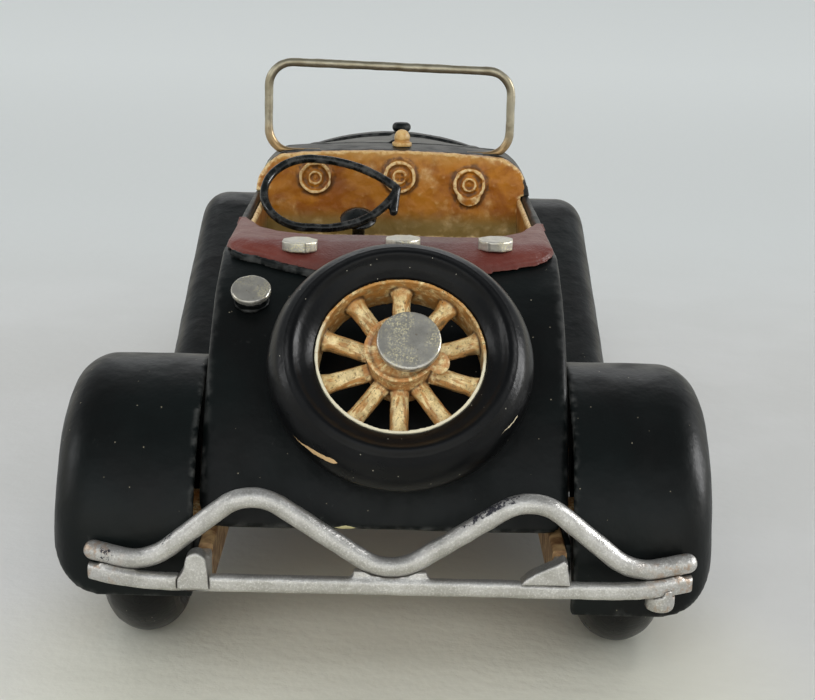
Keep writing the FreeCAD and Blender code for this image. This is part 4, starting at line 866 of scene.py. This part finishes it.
add_deck_pad()
add_seat("seat_cushion_soft", "seat_cushion", 0.5, 5.0, (0, 0, 1))
add_seat("seat_back_soft", "seat_back", 0.5, 5.0, (1, 0, 0.2))


# ---- stage ---------------------------------------------------------------------------------------
CAMERA_AT = (-289.0, -0.7, 96.8)
CAMERA_PITCH = math.radians(14.6)  # below the horizon
CAMERA_ROLL = 0.0227  # the picture's right side lies lower
SENSOR = 36.0
LENS = 72.971779  # focal length on that sensor
LENS_SHIFT = 0.01803681  # of the picture's width
CAR_MIDDLE = (0, 0, 25)  # where the windows face
PAINTED_WARM_LIGHT_X, PAINTED_WARM_LIGHT_R, PAINTED_WARM_LIGHT_CORE_R = -95.0, 68.0, 30.0  # where the table is painted lighter and warmer behind the car, as painted light in its shadow


def add_camera():
    forward = Vector((math.cos(CAMERA_PITCH), 0, -math.sin(CAMERA_PITCH)))
    level = Vector((0, -1, 0))
    upright = level.cross(forward)
    right = (level + upright * CAMERA_ROLL).normalized()
    up = (upright - level * CAMERA_ROLL).normalized()
    data = bpy.data.cameras.new("camera")
    data.sensor_width = SENSOR
    data.lens = LENS
    data.shift_x = LENS_SHIFT
    data.clip_start = 0.01
    camera = bpy.data.objects.new("camera", data)
    bpy.context.scene.collection.objects.link(camera)
    turn = Matrix((right, up, -forward)).transposed()
    camera.matrix_world = Matrix.Translation(mm(*CAMERA_AT)) @ turn.to_4x4()
    bpy.context.scene.camera = camera


def add_floor():
    """A pale matt table like a paper sweep, with painted light: lighter and warmer just behind the car, in
    its shadow, and lighter and cooler with distance.
    """
    mesh = bpy.data.meshes.new("floor")
    bm = bmesh.new()
    bmesh.ops.create_grid(bm, x_segments=8, y_segments=8, size=6.0)
    bm.to_mesh(mesh)
    bm.free()
    floor = new_object("floor", mesh)
    f = Finish("table")
    apart = f.nodes.new("ShaderNodeSeparateXYZ")
    f.put(apart.inputs[0], f.place)
    far_painted_light = f.step(apart.outputs["X"], 40.0, 260.0)
    near = f.blend(f.step(f.noise(60.0, detail=4), 0.4, 0.65), (0.70, 0.70, 0.68), (0.74, 0.74, 0.725))
    # painted light: a lighter, warmer patch in the car's shadow on the table behind it
    behind = f.math("POWER", f.math("SUBTRACT", apart.outputs["X"], PAINTED_WARM_LIGHT_X), 2.0)
    reach = f.math("SQRT", f.math("ADD", behind, f.math("POWER", apart.outputs["Y"], 2.0)))
    near = f.blend(f.step(reach, PAINTED_WARM_LIGHT_R, PAINTED_WARM_LIGHT_CORE_R), near, (0.90, 0.885, 0.76))
    # painted light: the table lighter and cooler further away, for how the light falls across it
    colour = f.blend(far_painted_light, near, (0.76, 0.785, 0.775))
    colour = f.blend(f.step(apart.outputs["X"], 260.0, 900.0), colour, (0.88, 0.91, 0.90))
    matt = [("Specular IOR Level", 0.2)]
    set_material(floor, f.finish(colour, 0.9, f.bump(f.noise(3.0, detail=4), 0.2), plain=matt))


def add_light(name, at, size, power, glossy):
    """If glossy, a window seen only in reflections; if not, a fill that lights only matt surfaces."""
    data = bpy.data.lights.new(name, "AREA")
    data.shape = "RECTANGLE"
    data.size, data.size_y = (s * MM for s in size)
    data.energy = power
    light = bpy.data.objects.new(name, data)
    light.visible_glossy = glossy
    light.visible_diffuse = not glossy
    light.location = mm(*at)
    light.rotation_mode = "QUATERNION"
    light.rotation_quaternion = (mm(*CAR_MIDDLE) - light.location).to_track_quat("-Z", "Y")
    bpy.context.scene.collection.objects.link(light)


def add_sun(name, direction, spread_angle, power):
    """A wide soft light, the same everywhere on the table."""
    data = bpy.data.lights.new(name, "SUN")
    data.angle = spread_angle
    data.energy = power
    light = bpy.data.objects.new(name, data)
    light.visible_glossy = False
    light.rotation_mode = "QUATERNION"
    light.rotation_quaternion = Vector(direction).to_track_quat("Z", "Y")
    bpy.context.scene.collection.objects.link(light)


def add_world():
    """A room with a bright warm horizon, dimmer and cooler upwards, and a bright wall behind the camera."""
    world = bpy.data.worlds.new("studio")
    world.use_nodes = True
    tree = world.node_tree
    background = tree.nodes["Background"]
    direction = tree.nodes.new("ShaderNodeTexCoord")
    apart = tree.nodes.new("ShaderNodeSeparateXYZ")
    tree.links.new(direction.outputs["Generated"], apart.inputs[0])

    def ramp(axis, low, high, first, last):
        node = tree.nodes.new("ShaderNodeMapRange")
        node.interpolation_type = "SMOOTHSTEP"
        for socket, value in zip(list(node.inputs)[1:5], (low, high, first, last)):
            socket.default_value = value
        tree.links.new(apart.outputs[axis], node.inputs["Value"])
        return node.outputs["Result"]

    horizon = ramp("Z", 0.05, 0.68, 0.88, 0.33)
    zenith = ramp("Z", 0.6, 0.9, 0.0, -0.12)
    behind = ramp("X", -0.95, -0.5, 0.9, 0.0)
    parts = [horizon, zenith, behind]
    total = parts[0]
    for part in parts[1:]:
        add = tree.nodes.new("ShaderNodeMath")
        tree.links.new(total, add.inputs[0])
        tree.links.new(part, add.inputs[1])
        total = add.outputs[0]
    tree.links.new(total, background.inputs["Strength"])
    tint = tree.nodes.new("ShaderNodeMix")
    tint.data_type = "RGBA"
    tree.links.new(ramp("Z", 0.02, 0.35, 0.0, 1.0), tint.inputs["Factor"])
    colours = [s for s in tint.inputs if s.type == "RGBA"]
    colours[0].default_value = (1.0, 0.96, 0.82, 1)
    colours[1].default_value = (0.93, 0.97, 1.0, 1)
    tree.links.new(next(s for s in tint.outputs if s.type == "RGBA"), background.inputs["Color"])
    bpy.context.scene.world = world


add_camera()
add_floor()
add_world()
add_sun("key", (400, -60, 850), math.radians(60), 0.84)
add_light("window_left", (-200, 1500, 700), (300, 600), 4.0, glossy=True)
add_light("window_right", (100, -1500, 600), (400, 700), 17.0, glossy=True)
add_light("window_front", (1700, 0, 1050), (1500, 400), 2.8, glossy=True)
add_light("fill", (-1000, 0, 750), (900, 600), 4.5, glossy=False)
bpy.context.scene.view_settings.view_transform = "Standard"
